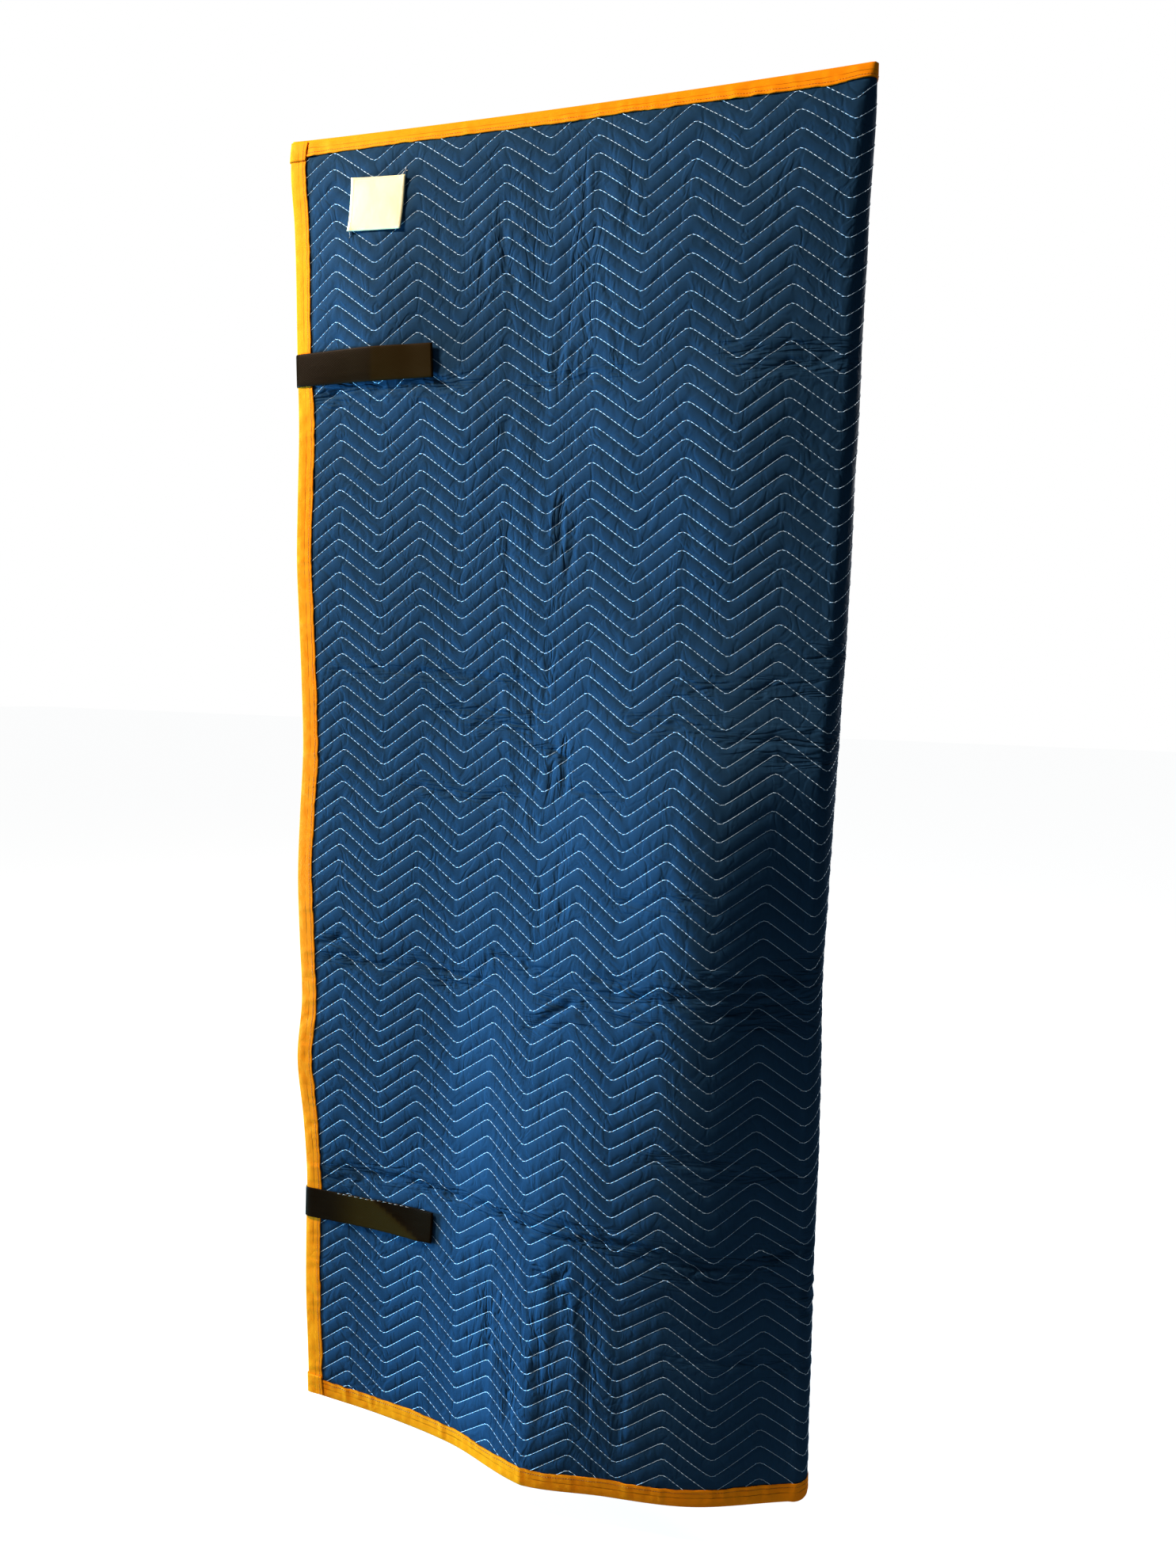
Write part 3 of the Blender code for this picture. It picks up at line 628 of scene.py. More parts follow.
def shell_piece(name, outer, inner, uv, material, joined_end=False):
    """A closed strip of cloth between two grids of points, outside and inside.

    With a joined end the last row is folded on itself, and its two halves are merged.
    """
    count = outer.shape[0] * outer.shape[1]
    index = np.arange(count).reshape(outer.shape[:2])
    faces = grid_faces(index) + grid_faces(count + index[:, ::-1])
    rim = np.concatenate((index[:, 0], index[-1, 1:], index[-2::-1, -1], index[0, -2:0:-1])).tolist()
    last = set(index[-1].tolist()) if joined_end else set()
    for a, b in zip(rim, rim[1:] + rim[:1]):
        if not (a in last and b in last):
            faces.append((b, a, a + count, b + count))
    points = np.concatenate((outer.reshape(-1, 3), inner.reshape(-1, 3)))
    piece = new_piece(name, points, faces, np.tile(uv.reshape(-1, 2), (2, 1)), material)
    if joined_end:
        shape = bmesh.new()
        shape.from_mesh(piece.data)
        bmesh.ops.remove_doubles(shape, verts=shape.verts, dist=0.002 * MM)
        shape.to_mesh(piece.data)
        shape.free()
    return piece


def zip_runs(first, first_at, second, second_at):
    """Triangles between two runs of vertices, joined in the order of their distances."""
    faces = []
    i = j = 0
    while i < len(first) - 1 or j < len(second) - 1:
        step_first = j == len(second) - 1
        if not step_first and i < len(first) - 1:
            step_first = first_at[i + 1] <= second_at[j + 1]
        if step_first:
            faces.append((first[i], first[i + 1], second[j]))
            i += 1
        else:
            faces.append((first[i], second[j + 1], second[j]))
            j += 1
    return faces


def quilt_columns():
    """Distances across of the quilt's columns, which meet every turn of the stitch lines."""
    fine, coarse = WAVE_LENGTH / FINE_COLUMNS, WAVE_LENGTH / COARSE_COLUMNS
    count = int((FOLD_MIDDLE + 40 * MM - FIRST_PEAK) / coarse)
    front = np.arange(FIRST_PEAK % fine, FIRST_PEAK + count * coarse, fine)
    back = np.arange(FIRST_PEAK + count * coarse, CLOTH_WIDTH - 0.3 * coarse, coarse)
    return np.concatenate(([0.0], front[front < back[0] - fine / 2], back, [CLOTH_WIDTH]))


def quilt_mesh(cloth, sizes):
    """Points, faces and UVs of the quilt: a fine stitched face and a plain inner one.

    The fine face's rows follow the stitch lines. Where a row runs off the cloth, at the
    top and at the hem, its points fall together on the edge.
    """
    lines = np.arange(FIRST_LINE_INDEX, LAST_LINE_INDEX)[:, None] + ROW_STEPS
    lines = lines.ravel()[:, None]
    across = quilt_columns()
    hem = hem_down(across)
    downs = line_down(across, lines)
    off_top = (downs <= 0.0).sum(axis=0)
    on_cloth = (downs < hem).sum(axis=0)
    downs = np.clip(downs, 0.0, hem)
    rows, columns = downs.shape
    grid = np.arange(rows * columns).reshape(rows, columns)
    for j in range(columns):
        grid[:off_top[j], j] = grid[off_top[j] - 1, j]
        grid[on_cloth[j]:, j] = grid[on_cloth[j], j]
    used, grid = np.unique(grid, return_inverse=True)
    grid = grid.reshape(rows, columns)
    outer = cloth.place(across, downs, relief(sizes, across, downs))
    points = outer.reshape(-1, 3)[used]
    uv = spread(across, downs).reshape(-1, 2)[used]
    faces = [tuple(dict.fromkeys(face)) for face in grid_faces(grid)]
    faces = [face for face in faces if len(face) > 2]

    inner_across = np.linspace(0.0, CLOTH_WIDTH, INNER_COLUMNS)
    share = np.linspace(0.0, 1.0, INNER_ROWS)[:, None]
    inner_downs = share * hem_down(inner_across)
    inside_edge = edge_distance(inner_across, inner_downs)
    thin = 1 - ramp(inside_edge, TAPE_WIDTH, 2 * SOFT_EDGE_TO - TAPE_WIDTH)
    depth = STITCH_THICKNESS + (PRESSED_THICKNESS - STITCH_THICKNESS) * thin
    inside = cloth.place(inner_across, inner_downs, -depth)
    inner_grid = len(points) + np.arange(INNER_ROWS * INNER_COLUMNS).reshape(INNER_ROWS, INNER_COLUMNS)
    faces += grid_faces(inner_grid[:, ::-1])
    points = np.concatenate((points, inside.reshape(-1, 3)))
    uv = np.concatenate((uv, spread(inner_across, inner_downs).reshape(-1, 2)))

    for fine, plain, axis, turned in (
            (grid[:, 0], inner_grid[:, 0], 1, False), (grid[:, -1], inner_grid[:, -1], 1, True),
            (grid[0], inner_grid[0], 0, True), (grid[-1], inner_grid[-1], 0, False)):
        run, inner_run = list(dict.fromkeys(fine.tolist())), plain.tolist()
        made = zip_runs(run, uv[run, axis], inner_run, uv[inner_run, axis])
        faces += [face if turned else face[::-1] for face in made]
    return points, faces, uv


def line_runs(low, high):
    """Stitch lines between two distances across, as runs of places clear of the tapes."""
    across = quilt_columns()
    inset = TAPE_WIDTH - 2 * MM
    across = across[(across > max(inset, low)) & (across < min(CLOTH_WIDTH - inset, high))]
    runs = []
    for line in range(FIRST_LINE_INDEX, LAST_LINE_INDEX):
        down = line_down(across, line)
        shown = (down > inset) & (down < hem_down(across) - inset)
        for part in np.split(np.arange(len(across)), np.where(np.diff(shown.astype(int)))[0] + 1):
            if len(part) > 1 and shown[part[0]]:
                runs.append((across[part], down[part]))
    return runs


def thread_path(name, runs):
    """An object of bare edges through runs of points, for the stitches to follow."""
    points, edges = [], []
    for run in runs:
        start = len(points)
        points += [tuple(p) for p in run]
        edges += [(start + k, start + k + 1) for k in range(len(run) - 1)]
    mesh = bpy.data.meshes.new(name)
    mesh.from_pydata(points, edges, [])
    return add_object(name, mesh)


def add_node(tree, kind, inputs=None, **settings):
    """A node with its settings, and inputs that are values or other nodes' outputs."""
    node = tree.nodes.new(kind)
    for key, value in settings.items():
        setattr(node, key, value)
    for key, value in (inputs or {}).items():
        if isinstance(value, bpy.types.NodeSocket):
            tree.links.new(value, node.inputs[key])
        else:
            node.inputs[key].default_value = value
    return node


def add_sockets(tree, in_out, kind, *names):
    """Named inputs or outputs of one kind for a node group."""
    for name in names:
        tree.interface.new_socket(name, in_out=in_out, socket_type="NodeSocket" + kind)


def stitch_tree():
    """Geometry nodes that lay one rounded stitch after another along each edge path."""
    tree = bpy.data.node_groups.get("stitches")
    if tree:
        return tree
    tree = bpy.data.node_groups.new("stitches", "GeometryNodeTree")
    add_sockets(tree, "INPUT", "Geometry", "Path")
    add_sockets(tree, "INPUT", "Float", "Spacing", "Length", "Width")
    add_sockets(tree, "INPUT", "Material", "Material")
    add_sockets(tree, "OUTPUT", "Geometry", "Stitches")
    given = add_node(tree, "NodeGroupInput").outputs
    curve = add_node(tree, "GeometryNodeMeshToCurve", {"Mesh": given["Path"]})
    points = add_node(tree, "GeometryNodeCurveToPoints",
                      {"Curve": curve.outputs["Curve"], "Length": given["Spacing"]}, mode="LENGTH")
    stitch = add_node(tree, "GeometryNodeMeshCylinder",
                      {"Vertices": 4, "Side Segments": 1, "Radius": 0.5, "Depth": 1.0})
    rounded = add_node(tree, "GeometryNodeSetShadeSmooth",
                       {"Geometry": stitch.outputs["Mesh"], "Selection": stitch.outputs["Side"]})
    size = add_node(tree, "ShaderNodeCombineXYZ",
                    {"X": given["Width"], "Y": given["Width"], "Z": given["Length"]})
    stitches = add_node(tree, "GeometryNodeInstanceOnPoints",
                        {"Points": points.outputs["Points"], "Instance": rounded.outputs["Geometry"],
                         "Rotation": points.outputs["Rotation"], "Scale": size.outputs["Vector"]})
    real = add_node(tree, "GeometryNodeRealizeInstances", {"Geometry": stitches.outputs["Instances"]})
    dyed = add_node(tree, "GeometryNodeSetMaterial",
                    {"Geometry": real.outputs["Geometry"], "Material": given["Material"]})
    add_node(tree, "NodeGroupOutput", {"Stitches": dyed.outputs["Geometry"]})
    return tree


def sew(name, runs, stitch, thread):
    """Stitches along runs of points, as one plain mesh."""
    path = thread_path(name + "_path", runs)
    tree = stitch_tree()
    modifier = path.modifiers.new("stitches", "NODES")
    modifier.node_group = tree
    values = {"Spacing": stitch.spacing, "Length": stitch.length, "Width": stitch.width,
              "Material": thread}
    for item in tree.interface.items_tree:
        if item.in_out == "INPUT" and item.name in values:
            modifier[item.identifier] = values[item.name]
    evaluated = path.evaluated_get(bpy.context.evaluated_depsgraph_get())
    mesh = bpy.data.meshes.new_from_object(evaluated)
    mesh.name = name
    bpy.data.objects.remove(path)
    piece = add_object(name, mesh)
    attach(piece, BODY)
    return piece


def round_run(grid):
    """The closed run of points round the rim of a grid, first along its first column."""
    return np.concatenate((grid[:-1, 0], grid[-1, :-1], grid[:0:-1, -1], grid[0, ::-1]))


def shader_group(name, numbers, result):
    """A new shader group with a vector and number inputs and one number result."""
    group = bpy.data.node_groups.new(name, "ShaderNodeTree")
    add_sockets(group, "INPUT", "Vector", "Vector")
    add_sockets(group, "INPUT", "Float", *numbers)
    add_sockets(group, "OUTPUT", "Float", result)
    return group, add_node(group, "NodeGroupInput").outputs


def math_node(tree, operation, *values):
    """The result of a sum on values or other nodes' outputs."""
    return add_node(tree, "ShaderNodeMath", dict(enumerate(values)), operation=operation).outputs[0]


def apart(tree, first, second):
    """How far two values are apart."""
    return math_node(tree, "ABSOLUTE", math_node(tree, "SUBTRACT", first, second))


def noise_node(tree, place, scale, detail, distortion=0.0):
    """A noise from 0 to 1 over a place."""
    return add_node(tree, "ShaderNodeTexNoise", {"Vector": place, "Scale": scale, "Detail": detail,
                                                 "Distortion": distortion}).outputs["Fac"]


def range_node(tree, value, ends, **settings):
    """A value brought from one range into another."""
    return add_node(tree, "ShaderNodeMapRange", {"Value": value, **ends}, **settings).outputs["Result"]


def stretched(tree, place, across, along):
    """A place with its two axes scaled."""
    return add_node(tree, "ShaderNodeVectorMath", {0: place, 1: (across, along, 1.0)},
                    operation="MULTIPLY").outputs[0]


def mixed(tree, factor, first, second):
    """A blend of two colours, where the first may be another node's output."""
    first = first if isinstance(first, bpy.types.NodeSocket) else (*first, 1.0)
    return add_node(tree, "ShaderNodeMix", {"Factor": factor, "A": first, "B": (*second, 1.0)},
                    data_type="RGBA").outputs["Result"]


def attribute_node(tree, name):
    """A value that the mesh keeps at its points."""
    return add_node(tree, "ShaderNodeAttribute", attribute_name=name).outputs["Fac"]


def weave_group():
    """Shader group: the height of a plain weave over a UV map in metres."""
    group, given = shader_group("plain_weave", ("Yarn Across", "Yarn Along"), "Height")
    axes = add_node(group, "ShaderNodeSeparateXYZ", {"Vector": given["Vector"]}).outputs
    waves = []
    for axis, yarn in (("X", "Yarn Across"), ("Y", "Yarn Along")):
        turn = math_node(group, "DIVIDE", axes[axis], given[yarn])
        waves.append(math_node(group, "SINE", math_node(group, "MULTIPLY", turn, math.pi)))
    height = math_node(group, "MULTIPLY_ADD", math_node(group, "MULTIPLY", *waves), 0.5, 0.5)
    add_node(group, "NodeGroupOutput", {"Height": height})
    return group


def tone_group():
    """Shader group: slow and fine unevenness of a dyed cloth, as a factor from 0 to 1."""
    group, given = shader_group("dye_tone", ("Patches", "Streaks"), "Tone")
    slow = noise_node(group, given["Vector"], given["Patches"], 3.0)
    fine = noise_node(group, stretched(group, given["Vector"], 1.0, 0.08), given["Streaks"], 2.0)
    both = add_node(group, "ShaderNodeMix", {"Factor": 0.4, "A": slow, "B": fine}, data_type="FLOAT")
    tone = range_node(group, both.outputs["Result"], {"From Min": 0.3, "From Max": 0.7})
    add_node(group, "NodeGroupOutput", {"Tone": tone})
    return group


def wrinkle_group():
    """Shader group: creases of slack cloth, level, upright and all over, as a height."""
    group, given = shader_group("cloth_wrinkles", ("Level", "Upright", "All Over"), "Height")
    height = None
    for label, across, along in (("Level", 11.0, 60.0), ("Upright", 46.0, 13.0),
                                 ("All Over", 34.0, 22.0)):
        folds = noise_node(group, stretched(group, given["Vector"], across, along), 1.0, 2.0, 0.7)
        valley = range_node(group, apart(group, folds, 0.5), {
            "From Max": 0.13, "To Min": -1.0, "To Max": 0.0}, interpolation_type="SMOOTHSTEP")
        part = math_node(group, "MULTIPLY", valley, given[label])
        height = math_node(group, "ADD", height, part) if height else part
    add_node(group, "NodeGroupOutput", {"Height": height})
    return group


def shade_line_group():
    """Shader group: a broken line of painted shade along a tape, at a distance from its edge."""
    group, given = shader_group("painted_tape_shade", ("Place", "Width"), "Mask")
    axes = add_node(group, "ShaderNodeSeparateXYZ", {"Vector": given["Vector"]}).outputs
    away = apart(group, axes["X"], given["Place"])
    line = range_node(group, away, {"From Max": given["Width"], "To Min": 1.0, "To Max": 0.0})
    gaps = noise_node(group, given["Vector"], 28.0, 3.0)
    shown = range_node(group, gaps, {"From Min": 0.36, "From Max": 0.58})
    add_node(group, "NodeGroupOutput", {"Mask": math_node(group, "MULTIPLY", line, shown)})
    return group


def placed_group(tree, make, inputs):
    """A shader group in a material's tree, made on its first use."""
    group = bpy.data.node_groups.get(make.__name__) or make()
    group.name = make.__name__
    return add_node(tree, "ShaderNodeGroup", inputs, node_tree=group).outputs[0]


# How a cloth is woven and dyed: roughness, gloss, yarn spacings, relief of the weave and of
# the small wrinkles, and how close its patches and streaks of tone lie.
Finish = namedtuple("Finish", "roughness gloss yarn_across yarn_along weave wrinkle patches streaks")
QUILT_FINISH = Finish(0.75, 0.012, 1.1, 0.9, 0.15, 2.6, 7.0, 420.0)
TAPE_FINISH = Finish(0.6, 0.03, 1.6, 0.8, 0.25, 0.5, 30.0, 300.0)
STRAP_FINISH = Finish(0.42, 0.018, 1.3, 2.2, 0.3, 0.3, 9.0, 160.0)
LABEL_FINISH = Finish(0.7, 0.05, 0.7, 0.7, 0.08, 0.3, 40.0, 500.0)
ROUGHNESS_SPREAD = 0.06
# How dark the painted shade lines are, against the cloth's second tone.
LINE_SHADE = 0.38


def new_material(name):
    """A new material, its node tree and its main shader."""
    material = bpy.data.materials.new(name)
    material.use_nodes = True
    return material, material.node_tree, material.node_tree.nodes["Principled BSDF"]


def cloth_material(name, finish, colour, other, creased=False, lines=(), worn=None):
    """A woven cloth: two dye tones, the weave's relief and small soft wrinkles, with lines of painted
    shade and a painted sheen where given.
    """
    material, tree, shader = new_material(name)
    uv = add_node(tree, "ShaderNodeUVMap", uv_map="cloth").outputs["UV"]
    tone = placed_group(tree, tone_group, {"Vector": uv, "Patches": finish.patches,
                                           "Streaks": finish.streaks})
    dye = mixed(tree, tone, colour, other)
    # Lines of painted shade, darker copies of the second tone.
    for place, width in lines:
        mask = placed_group(tree, shade_line_group, {"Vector": uv, "Place": place, "Width": width})
        dye = mixed(tree, mask, dye, [LINE_SHADE * c for c in other])
    # Painted sheen: a lighter tone, mixed in by the mesh's mask, that stands in for light on the cloth.
    if worn:
        dye = mixed(tree, attribute_node(tree, "worn"), dye, worn)
    creases = {"Vector": uv, "All Over": 0.2}
    if creased:
        creases["Level"] = attribute_node(tree, "level_creases")
        creases["Upright"] = attribute_node(tree, "upright_creases")
    wrinkles = add_node(tree, "ShaderNodeBump", {"Height": placed_group(tree, wrinkle_group, creases),
                                                 "Distance": finish.wrinkle * MM, "Strength": 1.0})
    weave = placed_group(tree, weave_group, {"Vector": uv, "Yarn Across": finish.yarn_across * MM,
                                             "Yarn Along": finish.yarn_along * MM})
    bump = add_node(tree, "ShaderNodeBump", {"Height": weave, "Distance": finish.weave * MM,
                                             "Strength": 0.6, "Normal": wrinkles.outputs["Normal"]})
    rough = range_node(tree, tone, {"To Min": finish.roughness - ROUGHNESS_SPREAD,
                                    "To Max": finish.roughness + ROUGHNESS_SPREAD})
    tree.links.new(dye, shader.inputs["Base Color"])
    tree.links.new(rough, shader.inputs["Roughness"])
    tree.links.new(bump.outputs["Normal"], shader.inputs["Normal"])
    shader.inputs["Specular IOR Level"].default_value = finish.gloss
    return material


def thread_material(name, colour):
    """Sewing thread, twisted, with a slight gloss."""
    material, tree, shader = new_material(name)
    place = add_node(tree, "ShaderNodeTexCoord").outputs["Object"]
    twist = noise_node(tree, place, 600.0, 2.0)
    tree.links.new(mixed(tree, twist, [0.75 * c for c in colour], colour), shader.inputs["Base Color"])
    rough = range_node(tree, twist, {"To Min": 0.45, "To Max": 0.65})
    tree.links.new(rough, shader.inputs["Roughness"])
    return material


def length_property(name, description, default, low, high):
    """A length setting, from millimetres."""
    return bpy.props.FloatProperty(name=name, description=description, default=default * MM,
                                   min=low * MM, max=high * MM, subtype="DISTANCE", unit="LENGTH")


def colour_property(name, description, colour):
    """A colour setting."""
    return bpy.props.FloatVectorProperty(name=name, description=description, default=colour,
                                         min=0.0, max=1.0, size=3, subtype="COLOR")


class CoverSizes(bpy.types.PropertyGroup):
    """Sizes of the cover's cloth and sewing."""

    puff: length_property("Puff", "Height of the padding between two stitch lines", 1.7, 0.0, 10.0)
    thread_width: length_property("Thread width", "Width of a quilting stitch", 0.8, 0.2, 5.0)
    stitch_spacing: length_property(
        "Stitch spacing", "Distance from one quilting stitch to the next", 7.2, 2.0, 20.0)
    tape_pucker: length_property(
        "Tape pucker", "Height of the small puckers along the binding", 0.9, 0.0, 2.0)
    strap_thickness: length_property("Strap thickness", "Thickness of the webbing", 1.9, 0.5, 5.0)
    label_thickness: length_property("Label thickness", "Thickness of the sewn patch", 0.8, 0.3, 3.0)


class CoverColours(bpy.types.PropertyGroup):
    """Colours of the cover's cloths and threads."""

    quilt: colour_property("Quilt", "Dye of the quilt's cloth", (0.0092, 0.034, 0.074))
    quilt_light: colour_property("Quilt, lighter", "Lighter patches of the dye", (0.0125, 0.042, 0.090))
    thread: colour_property("Thread", "Quilting thread", (0.48, 0.70, 0.91))
    tape: colour_property("Tape", "Binding tape", (0.93, 0.29, 0.003))
    tape_dark: colour_property("Tape, darker", "Darker streaks of the tape", (0.87, 0.24, 0.0025))
    strap: colour_property("Strap", "Webbing of the straps", (0.0048, 0.0020, 0.0002))
    strap_light: colour_property("Strap, lighter", "Lighter yarns of the webbing",
                                 (0.0085, 0.0040, 0.0004))
    # Painted sheen: the lighter olive tone that stands in for light on the straps' webbing.
    strap_sheen: colour_property("Strap, worn", "Rubbed patches of the webbing", (0.024, 0.013, 0.0012))
    label: colour_property("Label", "Cloth of the patch", (0.80, 0.75, 0.45))


# A tape's flap: the columns of its face, as shares of its width from the edge of the cloth,
# and how far the first ones fall towards the cloth, as shares of the tape's thickness.
FLAP = (1.0, 0.985, 0.95, 0.8, 0.66, 0.55, 0.44, 0.3, 0.15, 0.05)
FLAP_FALL = (0.45, 0.2) + (0.0,) * 8
SEAM_COLUMN = 3
SEAM_SETBACK = FLAP[SEAM_COLUMN] * TAPE_WIDTH
CREASE_SETBACK = 0.5 * TAPE_WIDTH

# Lines of painted shade along a tape: a painted contact shadow at its free edge, and painted
# shade in the seam's groove and in the middle crease; distance from its free edge and half width.
TAPE_SHADE_LINES = (
    (0.0, 1.6 * MM), (TAPE_WIDTH - SEAM_SETBACK, 1.2 * MM), (TAPE_WIDTH - CREASE_SETBACK, 1.1 * MM),
)

# Each tape's own place in the noise, and what is added to it for the short ends of a side tape.
FRONT_SEED, BACK_SEED, HEM_SEED = 1, 41, 83
TOP_FRONT_SEED, TOP_BACK_SEED = 121, 141
TOP_END_SEED, HEM_END_SEED = 7, 9

# The short ends of a side tape, which lap over the top tape and the hem tape: how far each
# stays from the corner, and how far it laps past the tape's own end.
TOP_END_INSET, TOP_END_LAP = 3.0 * MM, 5.0 * MM
HEM_END_INSET, HEM_END_LAP = 0.5 * MM, 4.0 * MM

# Places where a tape is pinched up into a small pleat: distance along it, height, half width.
Pinch = namedtuple("Pinch", "at height half_width")
PINCHES = {
    FRONT_SEED: (Pinch(645, 1.4, 4), Pinch(658, 0.9, 4), Pinch(950, 1.0, 5), Pinch(1275, 1.1, 4),
                 Pinch(1640, 1.3, 4)),
    HEM_SEED: (Pinch(424, 1.8, 4), Pinch(262, 0.8, 5), Pinch(640, 0.9, 4)),
    TOP_FRONT_SEED: (Pinch(38, 1.4, 5), Pinch(300, 0.8, 4), Pinch(700, 0.9, 5)),
}

# The top tape: rows along it, how much narrower it gets towards the fold, and its crown's
# columns between the front's edge and the back's.
TOP_ROWS = 180
TOP_NARROWING = 0.3
CROWN_STEPS = (0.12, 0.3, 0.5, 0.7, 0.88)


def tape_ring(grow, gap=TAPE_GAP):
    """Setback from the edge and lift of a tape's face, from its outer flap to its inner."""
    flap = np.array(FLAP) * TAPE_WIDTH
    fall = np.array(FLAP_FALL) * grow
    low = -(PRESSED_THICKNESS + gap)
    bend = np.linspace(0.0, math.pi, 7)
    half = (gap - low) / 2 + grow
    outer = np.stack((flap, gap + grow - fall), axis=-1)
    turn = np.stack((-np.sin(bend) * (gap + grow), (gap + low) / 2 + np.cos(bend) * half), axis=-1)
    inner = np.stack((flap[::-1], low - grow + fall[::-1]), axis=-1)
    return np.concatenate((outer, turn, inner))


def tape_lift(sizes, along, setback, lift, seed):
    """The lift of a tape's face with its middle crease, flap's edge and small puckers."""
    pucker = noise(along / (6 * MM), seed + setback / (22 * MM))
    pucker = pucker * (0.7 + 0.5 * noise(along / (60 * MM), seed + 5))
    drawn = np.maximum(noise(along / (14 * MM), seed + 60) - 0.45, 0.0)
    middle = bell(setback, CREASE_SETBACK, 1.4 * MM)
    seam = bell(setback, SEAM_SETBACK, 1.6 * MM)
    rise = sizes.tape_pucker * (pucker + 0.5 + 2.0 * drawn) - 0.5 * MM * middle - 0.4 * MM * seam
    for pinch in PINCHES.get(seed, ()):
        rise = rise + pinch.height * MM * bell(along, pinch.at * MM, pinch.half_width * MM)
    return lift + np.sign(lift) * np.maximum(rise, -0.2 * MM) * ramp(setback, 0.0, 6 * MM)


def uneven_reach(along, setback, seed):
    """Setbacks with the wandering free edge of a sewn tape."""
    slow, quick = noise(along / (50 * MM), seed + 20), noise(along / (15 * MM), seed + 33)
    wander = 1.2 * MM * slow + 0.8 * MM * quick
    return np.maximum(setback, 0.0) + wander * ramp(setback, 0.55 * TAPE_WIDTH, TAPE_WIDTH)


# A piece of tape round an edge of the cloth: where along the edge it starts and ends, its gap
# from the cloth, the function that gives the cloth place at a distance along and a setback, the
# way out past the edge, its place in the noise, and whether its columns are taken backwards.
TapeRun = namedtuple("TapeRun", "name node start end gap spot away seed backwards")


def side_spot(edge, inward, along, setback):
    """The cloth place at a setback from a side edge."""
    return edge + inward * setback, along


def hem_spot(along, setback):
    """The cloth place at a setback from the hem."""
    return along, hem_down(along) - setback


def tape_runs():
    """The tapes of the two side edges, each with its two short ends, and of the hem."""
    sideways, downwards = np.array((-1.0, 0.0, 0.0)), np.array((0.0, 0.0, -1.0))
    runs = []
    for name, edge, inward, seed in (("tape_front", 0.0, 1.0, FRONT_SEED),
                                     ("tape_back", CLOTH_WIDTH, -1.0, BACK_SEED)):
        low = hem_down(edge)
        spot = functools.partial(side_spot, edge, inward)
        for part, node, start, end, gap, shift in (
                ("_side", name + "_side", TAPE_END, low - TAPE_END, TAPE_GAP, 0),
                ("_top_end", None, TOP_END_INSET, TAPE_END + TOP_END_LAP, END_GAP, TOP_END_SEED),
                ("_hem_end", None, low - TAPE_END - HEM_END_LAP, low - HEM_END_INSET, END_GAP,
                 HEM_END_SEED)):
            runs.append(TapeRun(name + part, node, start, end, gap, spot, sideways, seed + shift,
                                backwards=inward > 0))
    runs.append(TapeRun("tape_hem", "tape_hem", 0.0, CLOTH_WIDTH, TAPE_GAP, hem_spot, downwards,
                        HEM_SEED, backwards=False))
    return runs


def tape_skin(cloth, sizes, tape, along, grow):
    """Points of one face of a tape, folded round its edge."""
    ring = tape_ring(grow, tape.gap)
    setback, lift = ring[None, :, 0], ring[None, :, 1]
    reach = uneven_reach(along, setback, tape.seed)
    raised = tape_lift(sizes, along, reach, lift + 0.0 * along, tape.seed)
    across, down = tape.spot(along + 0.0 * reach, reach)
    return cloth.place(across, down, raised) - tape.away * np.minimum(setback, 0.0)[..., None]


def finish_tape(piece, node, colours, seams):
    """Set a tape on its node and sew it with rows of small stitches."""
    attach(piece, BODY)
    if node:
        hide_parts(node)
    thread = bpy.data.materials.get("binding_thread")
    thread = thread or thread_material("binding_thread", [0.55 * c for c in colours.tape_dark])
    sew(piece.name + "_stitches", seams, TAPE_STITCH, thread)


def edge_tape(cloth, sizes, colours, material, tape):
    """Fold one tape round its edge and sew it on."""
    along = np.append(np.arange(tape.start, tape.end, TAPE_STEP), tape.end)[:, None]
    outer, inner = (tape_skin(cloth, sizes, tape, along, grow) for grow in (TAPE_THICKNESS, 0.0))
    uv = spread(run_lengths(tape_ring(TAPE_THICKNESS)), along)
    seam = outer[:, SEAM_COLUMN]
    if tape.backwards:
        outer, inner, uv = outer[:, ::-1], inner[:, ::-1], uv[:, ::-1]
    piece = shell_piece(tape.name + "_cloth", outer, inner, uv, material)
    finish_tape(piece, tape.node, colours, [seam])


